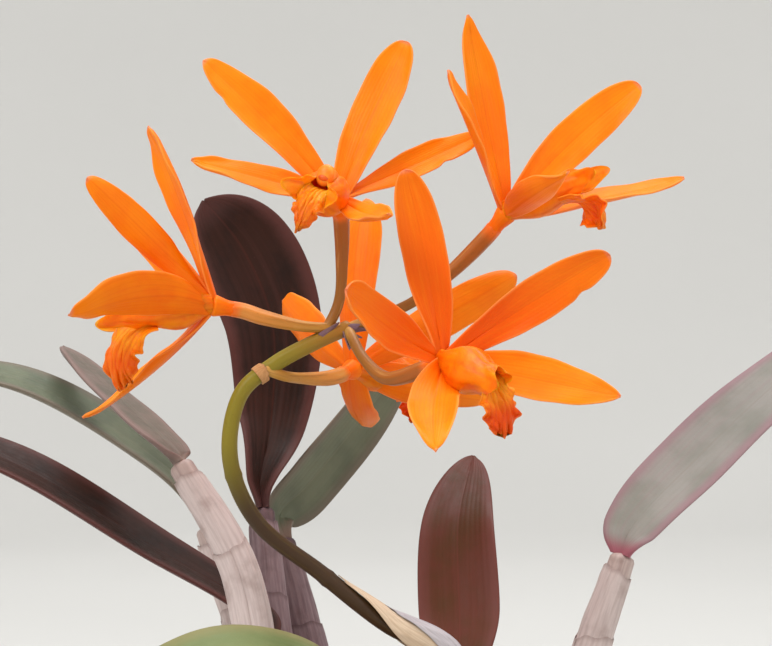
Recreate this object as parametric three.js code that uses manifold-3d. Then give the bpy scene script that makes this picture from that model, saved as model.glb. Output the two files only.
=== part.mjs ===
// Potted cattleya angereri: an orchid with five orange blooms on one bent stalk, in a plain clay pot.
// Millimetres, +Z up, the pot stands on z = 0 with its axis on Z. The photo looks along +Y.
import * as THREE from "three";
import { mergeVertices } from "three/addons/utils/BufferGeometryUtils.js";
import Module from "manifold-3d";

const wasm = await Module();
wasm.setup();

// Driving dimensions
const gap = 0.3; // between pieces that touch
const pot = {
  height: 82,
  rimRadius: 50,
  footRadius: 34,
  wall: 4.5,
  floor: 5,
  bandHeight: 17,
  bandStep: 2.2,
  lip: 1.2,
  bandEdge: 0.6,
  sides: 30,
  holeRadius: 4,
  holeCircle: 18,
  holeCount: 3,
  holeSides: 10,
};
const mixTop = 73;
const mixSlope = 1; // the fill's drop from its middle to the pot's wall
const chips = {
  count: 40,
  length: 10,
  width: 7,
  height: 4,
  reach: 38,
  clear: 6.5,
  sunk: 0.4,
  tilt: 0.45,
  seed: 7,
};
const tepal = {
  edge: 0.6,
  middle: 0.95,
  cup: 0.14,
  bow: 2.2,
  root: 1.1,
  wave: 0.35,
  tipWidth: 0.7,
  rows: 6,
  cols: 4,
};
const sepalShape = { width: 7.2, base: 0.38, rootPower: 1, widest: 0.52, tipPower: 0.8 };
const petalShape = { width: 7.0, base: 0.32, rootPower: 1, widest: 0.62, tipPower: 0.5 };
const bluntShape = { ...sepalShape, widest: 0.6, tipPower: 0.5 };
const acuteShape = { ...sepalShape, widest: 0.42, tipPower: 1.1 };
const lip = {
  tube: 13.6,
  lobeReach: 3.6,
  rootRadius: 1.5,
  radius: 3.0,
  narrowed: 0.36, // how much of its swell the tube loses towards its mouth
  flare: 0.75,
  wrap: 2.75,
  bend: 1.8,
  ruffle: 0.6,
  thickness: 0.7,
};
const column = { length: 8.5, rootRadius: 1.2, tipRadius: 1.45 };
const heartRadius = 1.7;
const stub = { length: 2.2, radius: 1.1 };
const leafShape = { base: 0.22, rootPower: 1.5, widest: 0.55, tipPower: 0.62 };
const lateShape = { ...leafShape, widest: 0.72, rootPower: 2 };
const leafBlade = { edge: 0.9, middle: 2.0, stalk: 4, cup: 0.1, wave: 0.25, tipWidth: 1.2, rows: 7, cols: 4 };
const cane = { rhizome: 2.3, foot: 2.0, belly: 3.0, top: 2.2, sides: 8, rings: 10 };
const root = { radius: 0.9, taper: 0.25, arch: 1.6, dive: 5, sides: 5, rings: 3 };
const holeGap = 0.4; // round a stem that stands in the mix
const sheath = { inner: 2.15, wall: 0.8, taper: 0.35, thinner: 0.15, rings: 6, sides: 8 };
const stalk = { radius: 1.15, foot: 1.25, stemRadius: 0.8, ovaryRadius: 1.15 };
const bract = { radius: 1.2, tip: 0.25, length: 4.2, lean: 1.9 };

const v = (x, y, z) => new THREE.Vector3(x, y, z);
const from = (list) => v(...list);

// Solids

// A closed solid from corner points and triangles, turned outside out if its faces point inwards.
function solidFrom(points, triangles) {
  const vertProperties = new Float32Array(points.flatMap((p) => p.toArray()));
  const build = (order) =>
    new wasm.Manifold(new wasm.Mesh({ numProp: 3, vertProperties, triVerts: new Uint32Array(order) }));
  const made = build(triangles.flat());
  return made.volume() > 0 ? made : build(triangles.flatMap(([a, b, c]) => [a, c, b]));
}

// The same for a closed three.js geometry.
function solidOf(geometry) {
  const bare = geometry.clone();
  bare.deleteAttribute("normal");
  bare.deleteAttribute("uv");
  const merged = mergeVertices(bare, 1e-4);
  return new wasm.Manifold(
    new wasm.Mesh({
      numProp: 3,
      vertProperties: merged.attributes.position.array,
      triVerts: new Uint32Array(merged.index.array),
    }),
  );
}

// The pieces fused in one body: pockets that fusing seals are filled, and loose scraps are dropped.
const largest = (solid) =>
  solid.decompose().reduce((most, body) => (body.volume() > most.volume() ? body : most));
const joined = (solids) => largest(solids.reduce((sum, next) => sum.add(next)));

// A thin closed blade around a grid of points. Both faces are split into triangles alike.
function sheet(grid, thicknessAt) {
  const rows = grid.length;
  const cols = grid[0].length;
  const normalAt = (i, j) => {
    const along = grid[Math.min(i + 1, rows - 1)][j].clone().sub(grid[Math.max(i - 1, 0)][j]);
    const across = grid[i][Math.min(j + 1, cols - 1)].clone().sub(grid[i][Math.max(j - 1, 0)]);
    return along.cross(across).normalize();
  };
  const points = [];
  for (const side of [0.5, -0.5]) {
    for (let i = 0; i < rows; i++) {
      for (let j = 0; j < cols; j++) {
        const off = side * thicknessAt(i / (rows - 1), (2 * j) / (cols - 1) - 1);
        points.push(grid[i][j].clone().addScaledVector(normalAt(i, j), off));
      }
    }
  }
  const at = (face, i, j) => face * rows * cols + i * cols + j;
  const triangles = [];
  for (let i = 0; i < rows - 1; i++) {
    for (let j = 0; j < cols - 1; j++) {
      const [a, b, c, d] = [[i, j], [i + 1, j], [i + 1, j + 1], [i, j + 1]];
      triangles.push([at(0, ...a), at(0, ...b), at(0, ...c)], [at(0, ...a), at(0, ...c), at(0, ...d)]);
      triangles.push([at(1, ...a), at(1, ...c), at(1, ...b)], [at(1, ...a), at(1, ...d), at(1, ...c)]);
    }
  }
  const rim = [];
  for (let j = 0; j < cols - 1; j++) rim.push([0, j]);
  for (let i = 0; i < rows - 1; i++) rim.push([i, cols - 1]);
  for (let j = cols - 1; j > 0; j--) rim.push([rows - 1, j]);
  for (let i = rows - 1; i > 0; i--) rim.push([i, 0]);
  rim.forEach((p, k) => {
    const q = rim[(k + 1) % rim.length];
    triangles.push([at(0, ...p), at(0, ...q), at(1, ...q)], [at(0, ...p), at(1, ...q), at(1, ...p)]);
  });
  return solidFrom(points, triangles);
}

// A closed round stem along a smooth curve. Its radius changes along the way, and extra fattens it all round.
function stem(places, radiusAt, rings, sides, extra = 0) {
  const curve = new THREE.CatmullRomCurve3(places);
  const frames = curve.computeFrenetFrames(rings);
  const points = [];
  const centreAt = (i) => {
    const longer = i === 0 ? -extra : i === rings ? extra : 0;
    return curve.getPointAt(i / rings).addScaledVector(frames.tangents[i], longer);
  };
  for (let i = 0; i <= rings; i++) {
    const radius = radiusAt(i / rings) + extra;
    for (let k = 0; k < sides; k++) {
      const angle = (2 * Math.PI * k) / sides;
      points.push(
        centreAt(i)
          .addScaledVector(frames.normals[i], radius * Math.cos(angle))
          .addScaledVector(frames.binormals[i], radius * Math.sin(angle)),
      );
    }
  }
  const triangles = [];
  for (let i = 0; i < rings; i++) {
    for (let k = 0; k < sides; k++) {
      const [a, b] = [i * sides + k, i * sides + ((k + 1) % sides)];
      triangles.push([a, b, b + sides], [a, b + sides, a + sides]);
    }
  }
  points.push(centreAt(0), centreAt(rings));
  const last = rings * sides;
  for (let k = 0; k < sides; k++) {
    const next = (k + 1) % sides;
    triangles.push([points.length - 2, next, k], [points.length - 1, last + k, last + next]);
  }
  return solidFrom(points, triangles);
}

const finishes = {
  clay: { color: 0xb5633c, roughness: 0.85 },
  bark: { color: 0x5a3a26, roughness: 0.95 },
  cane: { color: 0xb7a8a4, roughness: 0.7 },
  greenLeaf: { color: 0x76855f, roughness: 0.5 },
  darkLeaf: { color: 0x4a2c22, roughness: 0.5 },
  greyLeaf: { color: 0x7f8273, roughness: 0.55 },
  stalk: { color: 0x80782a, roughness: 0.55 },
  sheath: { color: 0xd3bdb0, roughness: 0.75 },
  flower: { color: 0xff7a10, roughness: 0.5 },
};
const plant = new THREE.Group();

function place(name, solid, finish) {
  const { vertProperties, triVerts } = solid.getMesh();
  const geometry = new THREE.BufferGeometry();
  geometry.setAttribute("position", new THREE.BufferAttribute(new Float32Array(vertProperties), 3));
  geometry.setIndex(new THREE.BufferAttribute(new Uint32Array(triVerts), 1));
  const flat = geometry.toNonIndexed();
  flat.computeVertexNormals();
  const mesh = new THREE.Mesh(flat, new THREE.MeshStandardMaterial({ ...finishes[finish], metalness: 0 }));
  mesh.name = name;
  plant.add(mesh);
}

// Repeatable random numbers from 0 to 1
function dice(seed) {
  let state = seed;
  return () => {
    state = (state * 16807) % 2147483647;
    return state / 2147483647;
  };
}

// Pot
const potRadiusAt = (z) => pot.footRadius + ((pot.rimRadius - pot.bandStep - pot.footRadius) * z) / pot.height;
const wallRadiusAt = (z) => potRadiusAt(z) - pot.wall;

function potSolid() {
  const bandBottom = pot.height - pot.bandHeight;
  const outline = [
    [0, 0],
    [pot.footRadius - pot.lip, 0],
    [potRadiusAt(pot.lip), pot.lip],
    [potRadiusAt(bandBottom - pot.bandStep), bandBottom - pot.bandStep],
    [pot.rimRadius - pot.bandEdge, bandBottom],
    [pot.rimRadius, bandBottom + pot.lip],
    [pot.rimRadius, pot.height - pot.lip],
    [pot.rimRadius - pot.lip, pot.height],
    [wallRadiusAt(pot.height) + pot.lip, pot.height],
    [wallRadiusAt(pot.height), pot.height - pot.lip],
    [wallRadiusAt(pot.floor), pot.floor],
    [0, pot.floor],
  ].map(([r, z]) => new THREE.Vector2(r, z));
  const turned = solidOf(new THREE.LatheGeometry(outline, pot.sides).rotateX(Math.PI / 2));
  let made = turned;
  for (let k = 0; k < pot.holeCount; k++) {
    const angle = Math.PI / 6 + (2 * Math.PI * k) / pot.holeCount;
    const drill = new THREE.CylinderGeometry(pot.holeRadius, pot.holeRadius, 3 * pot.floor, pot.holeSides)
      .rotateX(Math.PI / 2)
      .translate(pot.holeCircle * Math.cos(angle), pot.holeCircle * Math.sin(angle), pot.floor / 2);
    made = made.subtract(solidOf(drill));
  }
  return made;
}

// Growths: each is a piece of creeping rhizome that turns up into a cane with one leaf on top.
// start, foot and the points above it are the cane's course, and leaf is the course of its blade.
const growths = [
  {
    name: "1", // behind, left of the middle, with the tall dark leaf
    start: [-2, 21, 72], foot: [-9.5, 23, 74],
    course: [[-13, 25, 100], [-17.5, 30, 128]],
    top: [-19.6, 34, 148],
    leaf: [[-18.6, 42, 162], [-18.6, 47, 178], [-23.5, 50, 190], [-29.8, 51, 198]],
    width: 17, shape: lateShape, face: [0.2, -1, 0.1], colour: "darkLeaf", roots: [[-13, 30, 70]],
  },
  {
    name: "2", // behind the first, with a grey-green leaf that leans right
    start: [8, 29, 72], foot: [0, 31, 74],
    course: [[-5, 34, 100], [-12, 38.5, 125]],
    top: [-16.5, 42, 142.5],
    leaf: [[-13, 46, 152], [-2.5, 49, 165], [6, 51, 177]],
    width: 12, face: [0.75, -0.65, -0.2], colour: "greyLeaf", roots: [[-7, 35, 71]],
  },
  {
    name: "3", // far left, with a narrow arched leaf
    start: [-22, 15, 72], foot: [-21, 24, 74],
    course: [[-20.5, 30, 100], [-21.5, 36, 124]],
    top: [-28.5, 41, 144.5],
    leaf: [[-39, 43, 157], [-60, 43, 168.5], [-82, 40, 171]],
    width: 12, face: [0.2, -0.3, 1], colour: "greyLeaf", roots: [[-29, 20, 70]],
  },
  {
    name: "4", // left front, pale cane that bends left
    start: [-7, -2, 72], foot: [-14, 2, 74],
    course: [[-16.5, 4, 100], [-19, 8, 127], [-22.5, 10.5, 142]],
    top: [-31, 15, 156],
    leaf: [[-38, 24, 162.5], [-46.5, 38, 169], [-53, 53, 174]],
    width: 10, face: [0.4, -0.2, 0.9], colour: "greyLeaf", roots: [[-22, -2, 70], [-14, -7, 71]],
  },
  {
    name: "5", // short cane behind the fourth, with the long red-brown leaf
    start: [4, 12, 72], foot: [-4, 13, 74],
    course: [[-8, 15, 95], [-13, 18, 113]],
    top: [-18, 21.5, 128],
    leaf: [[-36, 22, 143], [-60, 22, 157], [-86, 20, 165]],
    width: 12, face: [0.35, -0.35, 0.9], colour: "darkLeaf", roots: [[-11, 12, 70]],
  },
  {
    name: "6", // right of the middle, the one in flower
    start: [21, 9, 72], foot: [17.5, 1, 74],
    course: [[17, 4, 92], [14, 9, 108]],
    top: [12, 12, 120],
    leaf: [[11.3, 18, 133], [11.3, 28, 147], [14, 41, 156.5]], leafBehind: 1.6,
    width: 12.5, face: [-0.1, -1, 0.3], colour: "darkLeaf", roots: [[9, 1, 71]],
  },
  {
    name: "7", // right back, with the long grey-green leaf
    start: [12, 20, 72], foot: [20.5, 19, 74],
    course: [[25, 19.5, 100], [31, 20.5, 126]],
    top: [36.4, 22, 141.5],
    leaf: [[48, 27, 156], [61, 33, 167.5], [80, 40, 182]],
    width: 13, face: [-0.55, -0.75, 0.35], colour: "greyLeaf", roots: [[27, 24, 70]],
  },
  {
    name: "8", // front, with the green leaf that arches over the pot's rim
    start: [8, -14, 72], foot: [1, -18, 74],
    course: [[1, -22, 90], [1, -27, 105]],
    top: [-1, -31, 118],
    leaf: [[-7, -38, 130], [-21, -46, 133.5], [-50, -54, 119]],
    width: 16, face: [0.1, -0.35, 1], colour: "greenLeaf", roots: [[-5, -25, 70], [9, -24, 71]],
  },
  {
    name: "9", // right front, short and young
    start: [21, -8, 72], foot: [28, -12, 74],
    course: [[32, -15, 84], [36, -18, 94]],
    top: [39, -20.5, 103],
    leaf: [[44, -24, 114], [53, -29, 123], [66, -34, 127]],
    width: 12, face: [-0.5, 0.1, 1], colour: "greenLeaf", roots: [[33, -6, 70], [25, -20, 71]],
  },
];

const caneCourse = (g) => [g.start, g.foot, ...g.course, g.top].map(from);

// t runs from 0 at the rhizome's cut end to 1 under the leaf. The foot ends at a quarter of the way.
function caneRadiusAt(t) {
  const rise = THREE.MathUtils.smoothstep(t, 0.25, 0.68);
  const fall = THREE.MathUtils.smoothstep(t, 0.72, 1);
  const foot = THREE.MathUtils.lerp(cane.rhizome, cane.foot, THREE.MathUtils.smoothstep(t, 0.1, 0.25));
  return foot + (cane.belly - cane.foot) * rise - (cane.belly - cane.top) * fall;
}

const caneStem = (g, extra) => stem(caneCourse(g), caneRadiusAt, cane.rings, cane.sides, extra);

// A root leaves the rhizome at the foot and dives into the bark.
function rootStem(g, end, extra) {
  const foot = from(g.foot).add(v(0, 0, -1));
  const out = from(end);
  const middle = foot.clone().lerp(out, 0.6).add(v(0, 0, root.arch));
  const deep = out.clone().lerp(foot, -0.2).setZ(out.z - root.dive);
  return stem([foot, middle, out, deep], (t) => root.radius - root.taper * t, root.rings, root.sides, extra);
}

const growthSolid = (g, extra) => joined([caneStem(g, extra), ...g.roots.map((end) => rootStem(g, end, extra))]);

// Potting mix: a fill that follows the pot's inside, with bark chips lying on top.
function mixSolid() {
  const bottom = pot.floor + gap;
  const outline = [
    [0, bottom],
    [wallRadiusAt(bottom) - gap, bottom],
    [wallRadiusAt(mixTop) - gap, mixTop - mixSlope],
    [0, mixTop],
  ].map(([r, z]) => new THREE.Vector2(r, z));
  let made = solidOf(new THREE.LatheGeometry(outline, pot.sides).rotateX(Math.PI / 2));
  const roll = dice(chips.seed);
  const about = (size) => size * (0.7 + 0.6 * roll());
  const lean = () => chips.tilt * (2 * roll() - 1);
  const goldenAngle = Math.PI * (3 - Math.sqrt(5));
  const nearFoot = (x, y) =>
    growths.some((g) => [g.start, g.foot].some((at) => Math.hypot(x - at[0], y - at[1]) < chips.clear));
  for (let k = 0; k < chips.count; k++) {
    const radius = chips.reach * Math.sqrt((k + 0.5) / chips.count);
    const [x, y] = [radius * Math.cos(k * goldenAngle), radius * Math.sin(k * goldenAngle)];
    if (nearFoot(x, y)) continue;
    const chip = new THREE.BoxGeometry(about(chips.length), about(chips.width), about(chips.height))
      .rotateX(lean())
      .rotateY(0.8 * lean())
      .rotateZ(2 * Math.PI * roll())
      .translate(x, y, mixTop + chips.sunk * (1.5 * roll() - 1));
    made = made.add(solidOf(chip));
  }
  const room = [
    [0, bottom],
    [wallRadiusAt(bottom) - gap, bottom],
    [wallRadiusAt(pot.height) - gap, pot.height],
    [0, pot.height],
  ].map(([r, z]) => new THREE.Vector2(r, z));
  made = made.intersect(solidOf(new THREE.LatheGeometry(room, pot.sides).rotateX(Math.PI / 2)));
  for (const g of growths) made = made.subtract(growthSolid(g, holeGap));
  return largest(made);
}

// How wide a blade is at t, from 0 at its root to 1 at its tip, as a share of its full width.
function bladeWidth(shape, t) {
  if (t < shape.widest) {
    return shape.base + (1 - shape.base) * Math.sin((Math.PI / 2) * (t / shape.widest)) ** shape.rootPower;
  }
  const toTip = (t - shape.widest) / (1 - shape.widest);
  return Math.max(0, 1 - toTip * toTip) ** shape.tipPower;
}

// Points of a blade along a curve. face is the way its inner side looks, and turn twists it from there.
// Its sides rise by cup times the width, and its margins wave a little.
function bladeGrid(curve, face, spec) {
  const grid = [];
  for (let i = 0; i <= spec.rows; i++) {
    const t = i / spec.rows;
    const centre = curve.getPoint(t);
    const tangent = curve.getTangent(t);
    const normal = face.clone().addScaledVector(tangent, -face.dot(tangent)).normalize();
    const twist = THREE.MathUtils.degToRad(spec.turn) * Math.min(1, spec.twistIn * t);
    normal.applyAxisAngle(tangent, twist);
    const side = tangent.clone().cross(normal);
    const width = Math.max(spec.width * bladeWidth(spec.shape, t), spec.tipWidth);
    const row = [];
    for (let j = 0; j <= spec.cols; j++) {
      const s = (2 * j) / spec.cols - 1;
      const lift = spec.cup * width * s * s + spec.wave * s * s * Math.sin(9 * t + 2.5 * s + spec.phase);
      row.push(centre.clone().addScaledVector(side, (s * width) / 2).addScaledVector(normal, lift));
    }
    grid.push(row);
  }
  return grid;
}

// Leaf
function leafSolid(g) {
  const top = from(g.top);
  const way = top.clone().sub(from(g.course[g.course.length - 1])).normalize();
  const base = top.clone().addScaledVector(way, 2 * gap).add(v(0, g.leafBehind ?? 0, 0));
  const start = base.clone().addScaledVector(way, leafBlade.stalk);
  const curve = new THREE.CatmullRomCurve3([base, start, ...g.leaf.map(from)]);
  const shape = g.shape ?? leafShape;
  const spec = { ...leafBlade, width: g.width, shape, turn: 0, twistIn: 1, phase: g.width };
  const thick = (t, s) => leafBlade.edge + (leafBlade.middle - leafBlade.edge) * (1 - Math.abs(s));
  return sheet(bladeGrid(curve, from(g.face).normalize(), spec), thick);
}

// Blooms: heart is where the tepals meet, faces is the way the open bloom looks, and every tip and the
// lip's way are measured from the heart. The sepals come first, the one at the back before the lower two.
// A tepal's wide is its share of the usual width, turn twists it, and sway moves the middle of its curve.
const blooms = [
  {
    name: "bloom_left",
    heart: [-24.9, -2, 180.5],
    faces: [-0.97, -0.16, 0.18],
    lip: [-0.97, -0.16, -0.12],
    midlobe: { start: 10.2, isthmus: 5.8, width: 7.2, length: 9.8, twist: 62 },
    sepals: [
      { tip: [-9.4, 0, 26.4], turn: 3, sway: [-5.6, 0, 0] },
      { tip: [-19.5, -15, -1.4], sway: [0, 0, 5.2], shape: bluntShape },
      { tip: [-20.4, 11, -17], turn: 22, wide: 0.85 },
    ],
    petals: [
      { tip: [-17.9, -9, 18.3], turn: -70, wide: 0.7 },
      { tip: [-16.8, 13, 17.6], turn: 10, wide: 0.95 },
    ],
  },
  {
    name: "bloom_top",
    heart: [-7, -5, 195.9],
    faces: [-0.11, -0.74, 0.67],
    lip: [-0.28, -0.95, 0.02],
    midlobe: { start: 11.4, isthmus: 3.2, width: 4.6, length: 5.4, twist: -10 },
    sepals: [
      { tip: [10.2, 7, 23.5], sway: [-1.4, 0, 0.4], wide: 0.98, shape: bluntShape },
      { tip: [-20.9, -9, 5.1], sway: [0, 0, 1.8], wide: 0.74 },
      { tip: [7.6, -23.5, -3.2], wide: 0.66 },
    ],
    petals: [
      { tip: [-19.7, 0, 20.1], sway: [1.6, 0, 1.6], wide: 0.94 },
      { tip: [20.8, 9, 9.8], turn: 15, sway: [0, 0, 1.6], wide: 0.68 },
    ],
  },
  {
    name: "bloom_right",
    heart: [17.4, -2, 193.8],
    faces: [0.6, -0.33, 0.73],
    lip: [0.86, -0.4, 0.32],
    midlobe: { start: 9.6, isthmus: 3.6, width: 6.2, length: 7.8, twist: 50 },
    sepals: [
      { tip: [-5.6, 0, 29.3], turn: -35, sway: [1.9, 0, 0], wide: 0.88 },
      { tip: [10.5, -22.5, 4.7], sway: [0, 0, 1.2], wide: 0.8, shape: acuteShape },
      { tip: [27.2, 9, 5.5], turn: -20, sway: [0, 0, 0.8], wide: 0.9 },
    ],
    petals: [
      { tip: [-8.8, -8, 20.4], sway: [2.8, 0, 0], wide: 0.8 },
      { tip: [20.4, 8, 19.5], turn: 10, sway: [-1.6, 0, 1.4], wide: 0.84, shape: bluntShape },
    ],
  },
  {
    name: "bloom_front",
    heart: [7.9, -17, 172.5],
    faces: [0.58, -0.78, 0.25],
    lip: [0.6, -0.75, -0.28],
    midlobe: { start: 11.2, isthmus: 3.4, width: 5.8, length: 7.0, twist: -6 },
    sepals: [
      { tip: [-5.2, 0, 27.2], turn: -38, sway: [2.4, 0, 0], wide: 0.9, shape: bluntShape },
      { tip: [-1.2, -24, -11.9], turn: 48, shape: acuteShape },
      { tip: [25.1, -3, -5], sway: [0, 0, 1.1] },
    ],
    petals: [
      { tip: [-13.7, -19, 10] },
      { tip: [23.9, 2, 15.2], sway: [0, 0, 0.4], wide: 0.93 },
    ],
  },
  {
    name: "bloom_back",
    heart: [-5.2, 14, 170.9],
    faces: [0.46, 0.86, 0.2],
    lip: [0.62, 0.77, -0.1],
    midlobe: { start: 11.6, isthmus: 3.4, width: 5.4, length: 8.0, twist: 8 },
    sepals: [
      { tip: [1.9, 9, 26.4], shape: bluntShape },
      { tip: [2, 19, -9.3] },
      { tip: [21.7, 13, -4.9] },
    ],
    petals: [
      { tip: [-11.3, 19, 10.8] },
      { tip: [25.2, 4, 14.5], wide: 0.9 },
    ],
  },
];

function tepalSolid(bloom, part, usualShape) {
  const shape = part.shape ?? usualShape;
  const heart = from(bloom.heart);
  const tip = from(part.tip);
  const face = from(bloom.faces).normalize();
  const back = face.clone().projectOnPlane(tip.clone().normalize()).normalize().negate();
  const curve = new THREE.QuadraticBezierCurve3(
    heart.clone().addScaledVector(tip.clone().normalize(), tepal.root),
    heart.clone().addScaledVector(tip, 0.5).addScaledVector(back, tepal.bow).add(from(part.sway ?? [0, 0, 0])),
    heart.clone().add(tip),
  );
  const width = shape.width * (part.wide ?? 1);
  const spec = { ...tepal, width, shape, turn: part.turn ?? 0, twistIn: 2.5, phase: tip.x + tip.z };
  const thick = (t, s) => tepal.edge + (tepal.middle - tepal.edge) * (1 - s * s) * (1 - 0.4 * t);
  return sheet(bladeGrid(curve, face, spec), thick);
}

// The lip's own frame: along its way, up towards the back sepal, and sideways.
function lipFrame(bloom) {
  const along = from(bloom.lip).normalize();
  const up = from(bloom.sepals[0].tip).projectOnPlane(along).normalize();
  return { heart: from(bloom.heart), along, up, across: along.clone().cross(up) };
}

const lipPoint = (f, forward, side, rise) =>
  f.heart
    .clone()
    .addScaledVector(f.along, forward)
    .addScaledVector(f.across, side)
    .addScaledVector(f.up, rise);

// The side lobes roll up round the column, and their front ends stand out.
function lipTube(bloom) {
  const f = lipFrame(bloom);
  const [rows, cols] = [5, 8];
  const grid = [];
  for (let i = 0; i <= rows; i++) {
    const u = i / rows;
    const row = [];
    for (let j = 0; j <= cols; j++) {
      const s = (2 * j) / cols - 1;
      const lobe = Math.exp(-(((Math.abs(s) - 0.62) / 0.25) ** 2));
      const forward = 0.6 + (lip.tube - 2 + lip.lobeReach * lobe) * u;
      const narrower = 1 - lip.narrowed * THREE.MathUtils.smoothstep(u, 0.55, 0.95);
      const swell = THREE.MathUtils.smoothstep(u, 0, 0.55) * narrower;
      const flare = lip.flare * lobe * THREE.MathUtils.smoothstep(u, 0.7, 1);
      const radius = lip.rootRadius + (lip.radius - lip.rootRadius) * swell + flare;
      const angle = s * lip.wrap;
      row.push(lipPoint(f, forward, radius * Math.sin(angle), 0.6 - radius * Math.cos(angle)));
    }
    grid.push(row);
  }
  return sheet(grid, () => lip.thickness);
}

// The front lobe leaves the tube's floor, bends down, turns by its twist and is ruffled at its sides.
function lipMidlobe(bloom) {
  const f = lipFrame(bloom);
  const form = bloom.midlobe;
  const [rows, cols] = [5, 6];
  const arc = form.length / lip.bend;
  const grid = [];
  for (let i = 0; i <= rows; i++) {
    const t = i / rows;
    const angle = lip.bend * t;
    const open = THREE.MathUtils.smoothstep(t, 0.12, 0.5);
    const rounded = 1 - 0.45 * Math.max(0, 2 * t - 1) ** 2.2;
    const width = THREE.MathUtils.lerp(form.isthmus, form.width, open) * rounded;
    const twist = THREE.MathUtils.degToRad(form.twist) * THREE.MathUtils.smoothstep(t, 0.05, 0.75);
    const row = [];
    for (let j = 0; j <= cols; j++) {
      const s = (2 * j) / cols - 1;
      const bowed = (0.9 - 1.6 * open) * s * s;
      const out = bowed + lip.ruffle * open * s * s * Math.cos(2.5 * Math.PI * s + 4 * t);
      const side = ((s * width) / 2) * Math.cos(twist) - out * Math.sin(twist);
      const lift = ((s * width) / 2) * Math.sin(twist) + out * Math.cos(twist);
      const forward = form.start + arc * Math.sin(angle) + lift * Math.sin(angle);
      const rise = 0.95 - lip.radius - arc * (1 - Math.cos(angle)) + lift * Math.cos(angle);
      row.push(lipPoint(f, forward, side, rise));
    }
    grid.push(row);
  }
  return sheet(grid, () => lip.thickness);
}

function columnSolid(bloom) {
  const f = lipFrame(bloom);
  const course = [0, 0.5, 1].map((t) => lipPoint(f, column.length * t, 0, 0.9 * Math.sin(Math.PI * t * 0.8)));
  const radius = (t) => THREE.MathUtils.lerp(column.rootRadius, column.tipRadius, t);
  return stem(course, radius, 3, 6);
}

const backOf = (bloom, distance) =>
  from(bloom.heart).addScaledVector(from(bloom.faces).normalize(), -distance);

function bloomSolid(bloom) {
  const heart = new THREE.IcosahedronGeometry(heartRadius).translate(...bloom.heart);
  const neck = stem(
    [backOf(bloom, stub.length), backOf(bloom, stub.length / 2), from(bloom.heart)],
    (t) => stub.radius + 0.3 * t,
    1,
    7,
  );
  return joined([
    solidOf(heart),
    neck,
    ...bloom.sepals.map((part) => tepalSolid(bloom, part, sepalShape)),
    ...bloom.petals.map((part) => tepalSolid(bloom, part, petalShape)),
    lipTube(bloom),
    lipMidlobe(bloom),
    columnSolid(bloom),
  ]);
}

// Flower stalk: from the sheath on the sixth cane round its bend to the bracts, then one stem to each bloom
const stalkCourse = [
  [11.2, 9.6, 121.6], [8.6, 7.4, 128.6], [0.6, 4, 132.9], [-9.7, 2, 141.1], [-19.1, 0, 148.9],
  [-22.9, -1, 158.2], [-21.3, -1, 167.6], [-16.6, 0, 171.8], [-10.2, 1, 175.3], [-5.6, 2, 177.3],
];
const flowerStems = {
  bloom_left: [[-6, 2, 177.2], [-12, 0.2, 177.5], [-18, -1.2, 178.8]],
  bloom_top: [[-9.4, 1, 175.9], [-7, 1.8, 181], [-6.5, 1.4, 188]],
  bloom_right: [[-5.6, 2, 177.2], [3.8, 1.4, 181], [9.7, 0.4, 185.6]],
  bloom_front: [[-5.6, 1.6, 177], [-3.1, -4, 172.6], [0.4, -9.5, 170]],
  bloom_back: [[-17, 0, 171.4], [-12.8, 4.4, 169.9], [-8.9, 8.4, 169.7]],
};

function stalkSolid() {
  const main = stem(
    stalkCourse.map(from),
    (t) => THREE.MathUtils.lerp(stalk.foot, stalk.radius, t),
    20,
    7,
  );
  const stems = blooms.map((bloom) => {
    const end = backOf(bloom, stub.length + gap);
    const before = backOf(bloom, stub.length + gap + 1.5);
    const radius = (t) =>
      THREE.MathUtils.lerp(stalk.stemRadius, stalk.ovaryRadius, THREE.MathUtils.smoothstep(t, 0.3, 0.9));
    return stem([...flowerStems[bloom.name].map(from), before, end], radius, 7, 6);
  });
  const bracts = Object.values(flowerStems).map(([base, next]) => {
    const way = from(next).sub(from(base)).normalize();
    const spread = v(0, 0, -1).projectOnPlane(way).normalize();
    const course = [0, 0.5, 1].map((t) =>
      from(base).addScaledVector(way, t * bract.length).addScaledVector(spread, t * bract.lean),
    );
    return stem(course, (t) => THREE.MathUtils.lerp(bract.radius, bract.tip, t), 2, 5);
  });
  return joined([main, ...stems, ...bracts]);
}

// Floral sheath: an open pale sleeve round the foot of the stalk
function sheathSolid() {
  const course = stalkCourse.slice(0, 4).map(from);
  const innerAt = (t) => sheath.inner - sheath.taper * t * t;
  const outerAt = (t) => innerAt(t) + sheath.wall - sheath.thinner * t * t;
  const before = course[0].clone().addScaledVector(course[1].clone().sub(course[0]).normalize(), -2);
  const past = course[3].clone().addScaledVector(course[3].clone().sub(course[2]).normalize(), 2);
  const outer = stem(course, outerAt, sheath.rings, sheath.sides);
  return outer.subtract(stem([before, ...course, past], innerAt, sheath.rings + 2, sheath.sides));
}

place("pot", potSolid(), "clay");
place("potting_mix", mixSolid(), "bark");
for (const g of growths) {
  place(`pseudobulb_${g.name}`, growthSolid(g, 0), "cane");
  place(`leaf_${g.name}`, leafSolid(g), g.colour);
}
place("floral_sheath", sheathSolid(), "sheath");
place("flower_stalk", stalkSolid(), "stalk");
for (const bloom of blooms) place(bloom.name, bloomSolid(bloom), "flower");

export default plant;
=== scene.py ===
import math

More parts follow.
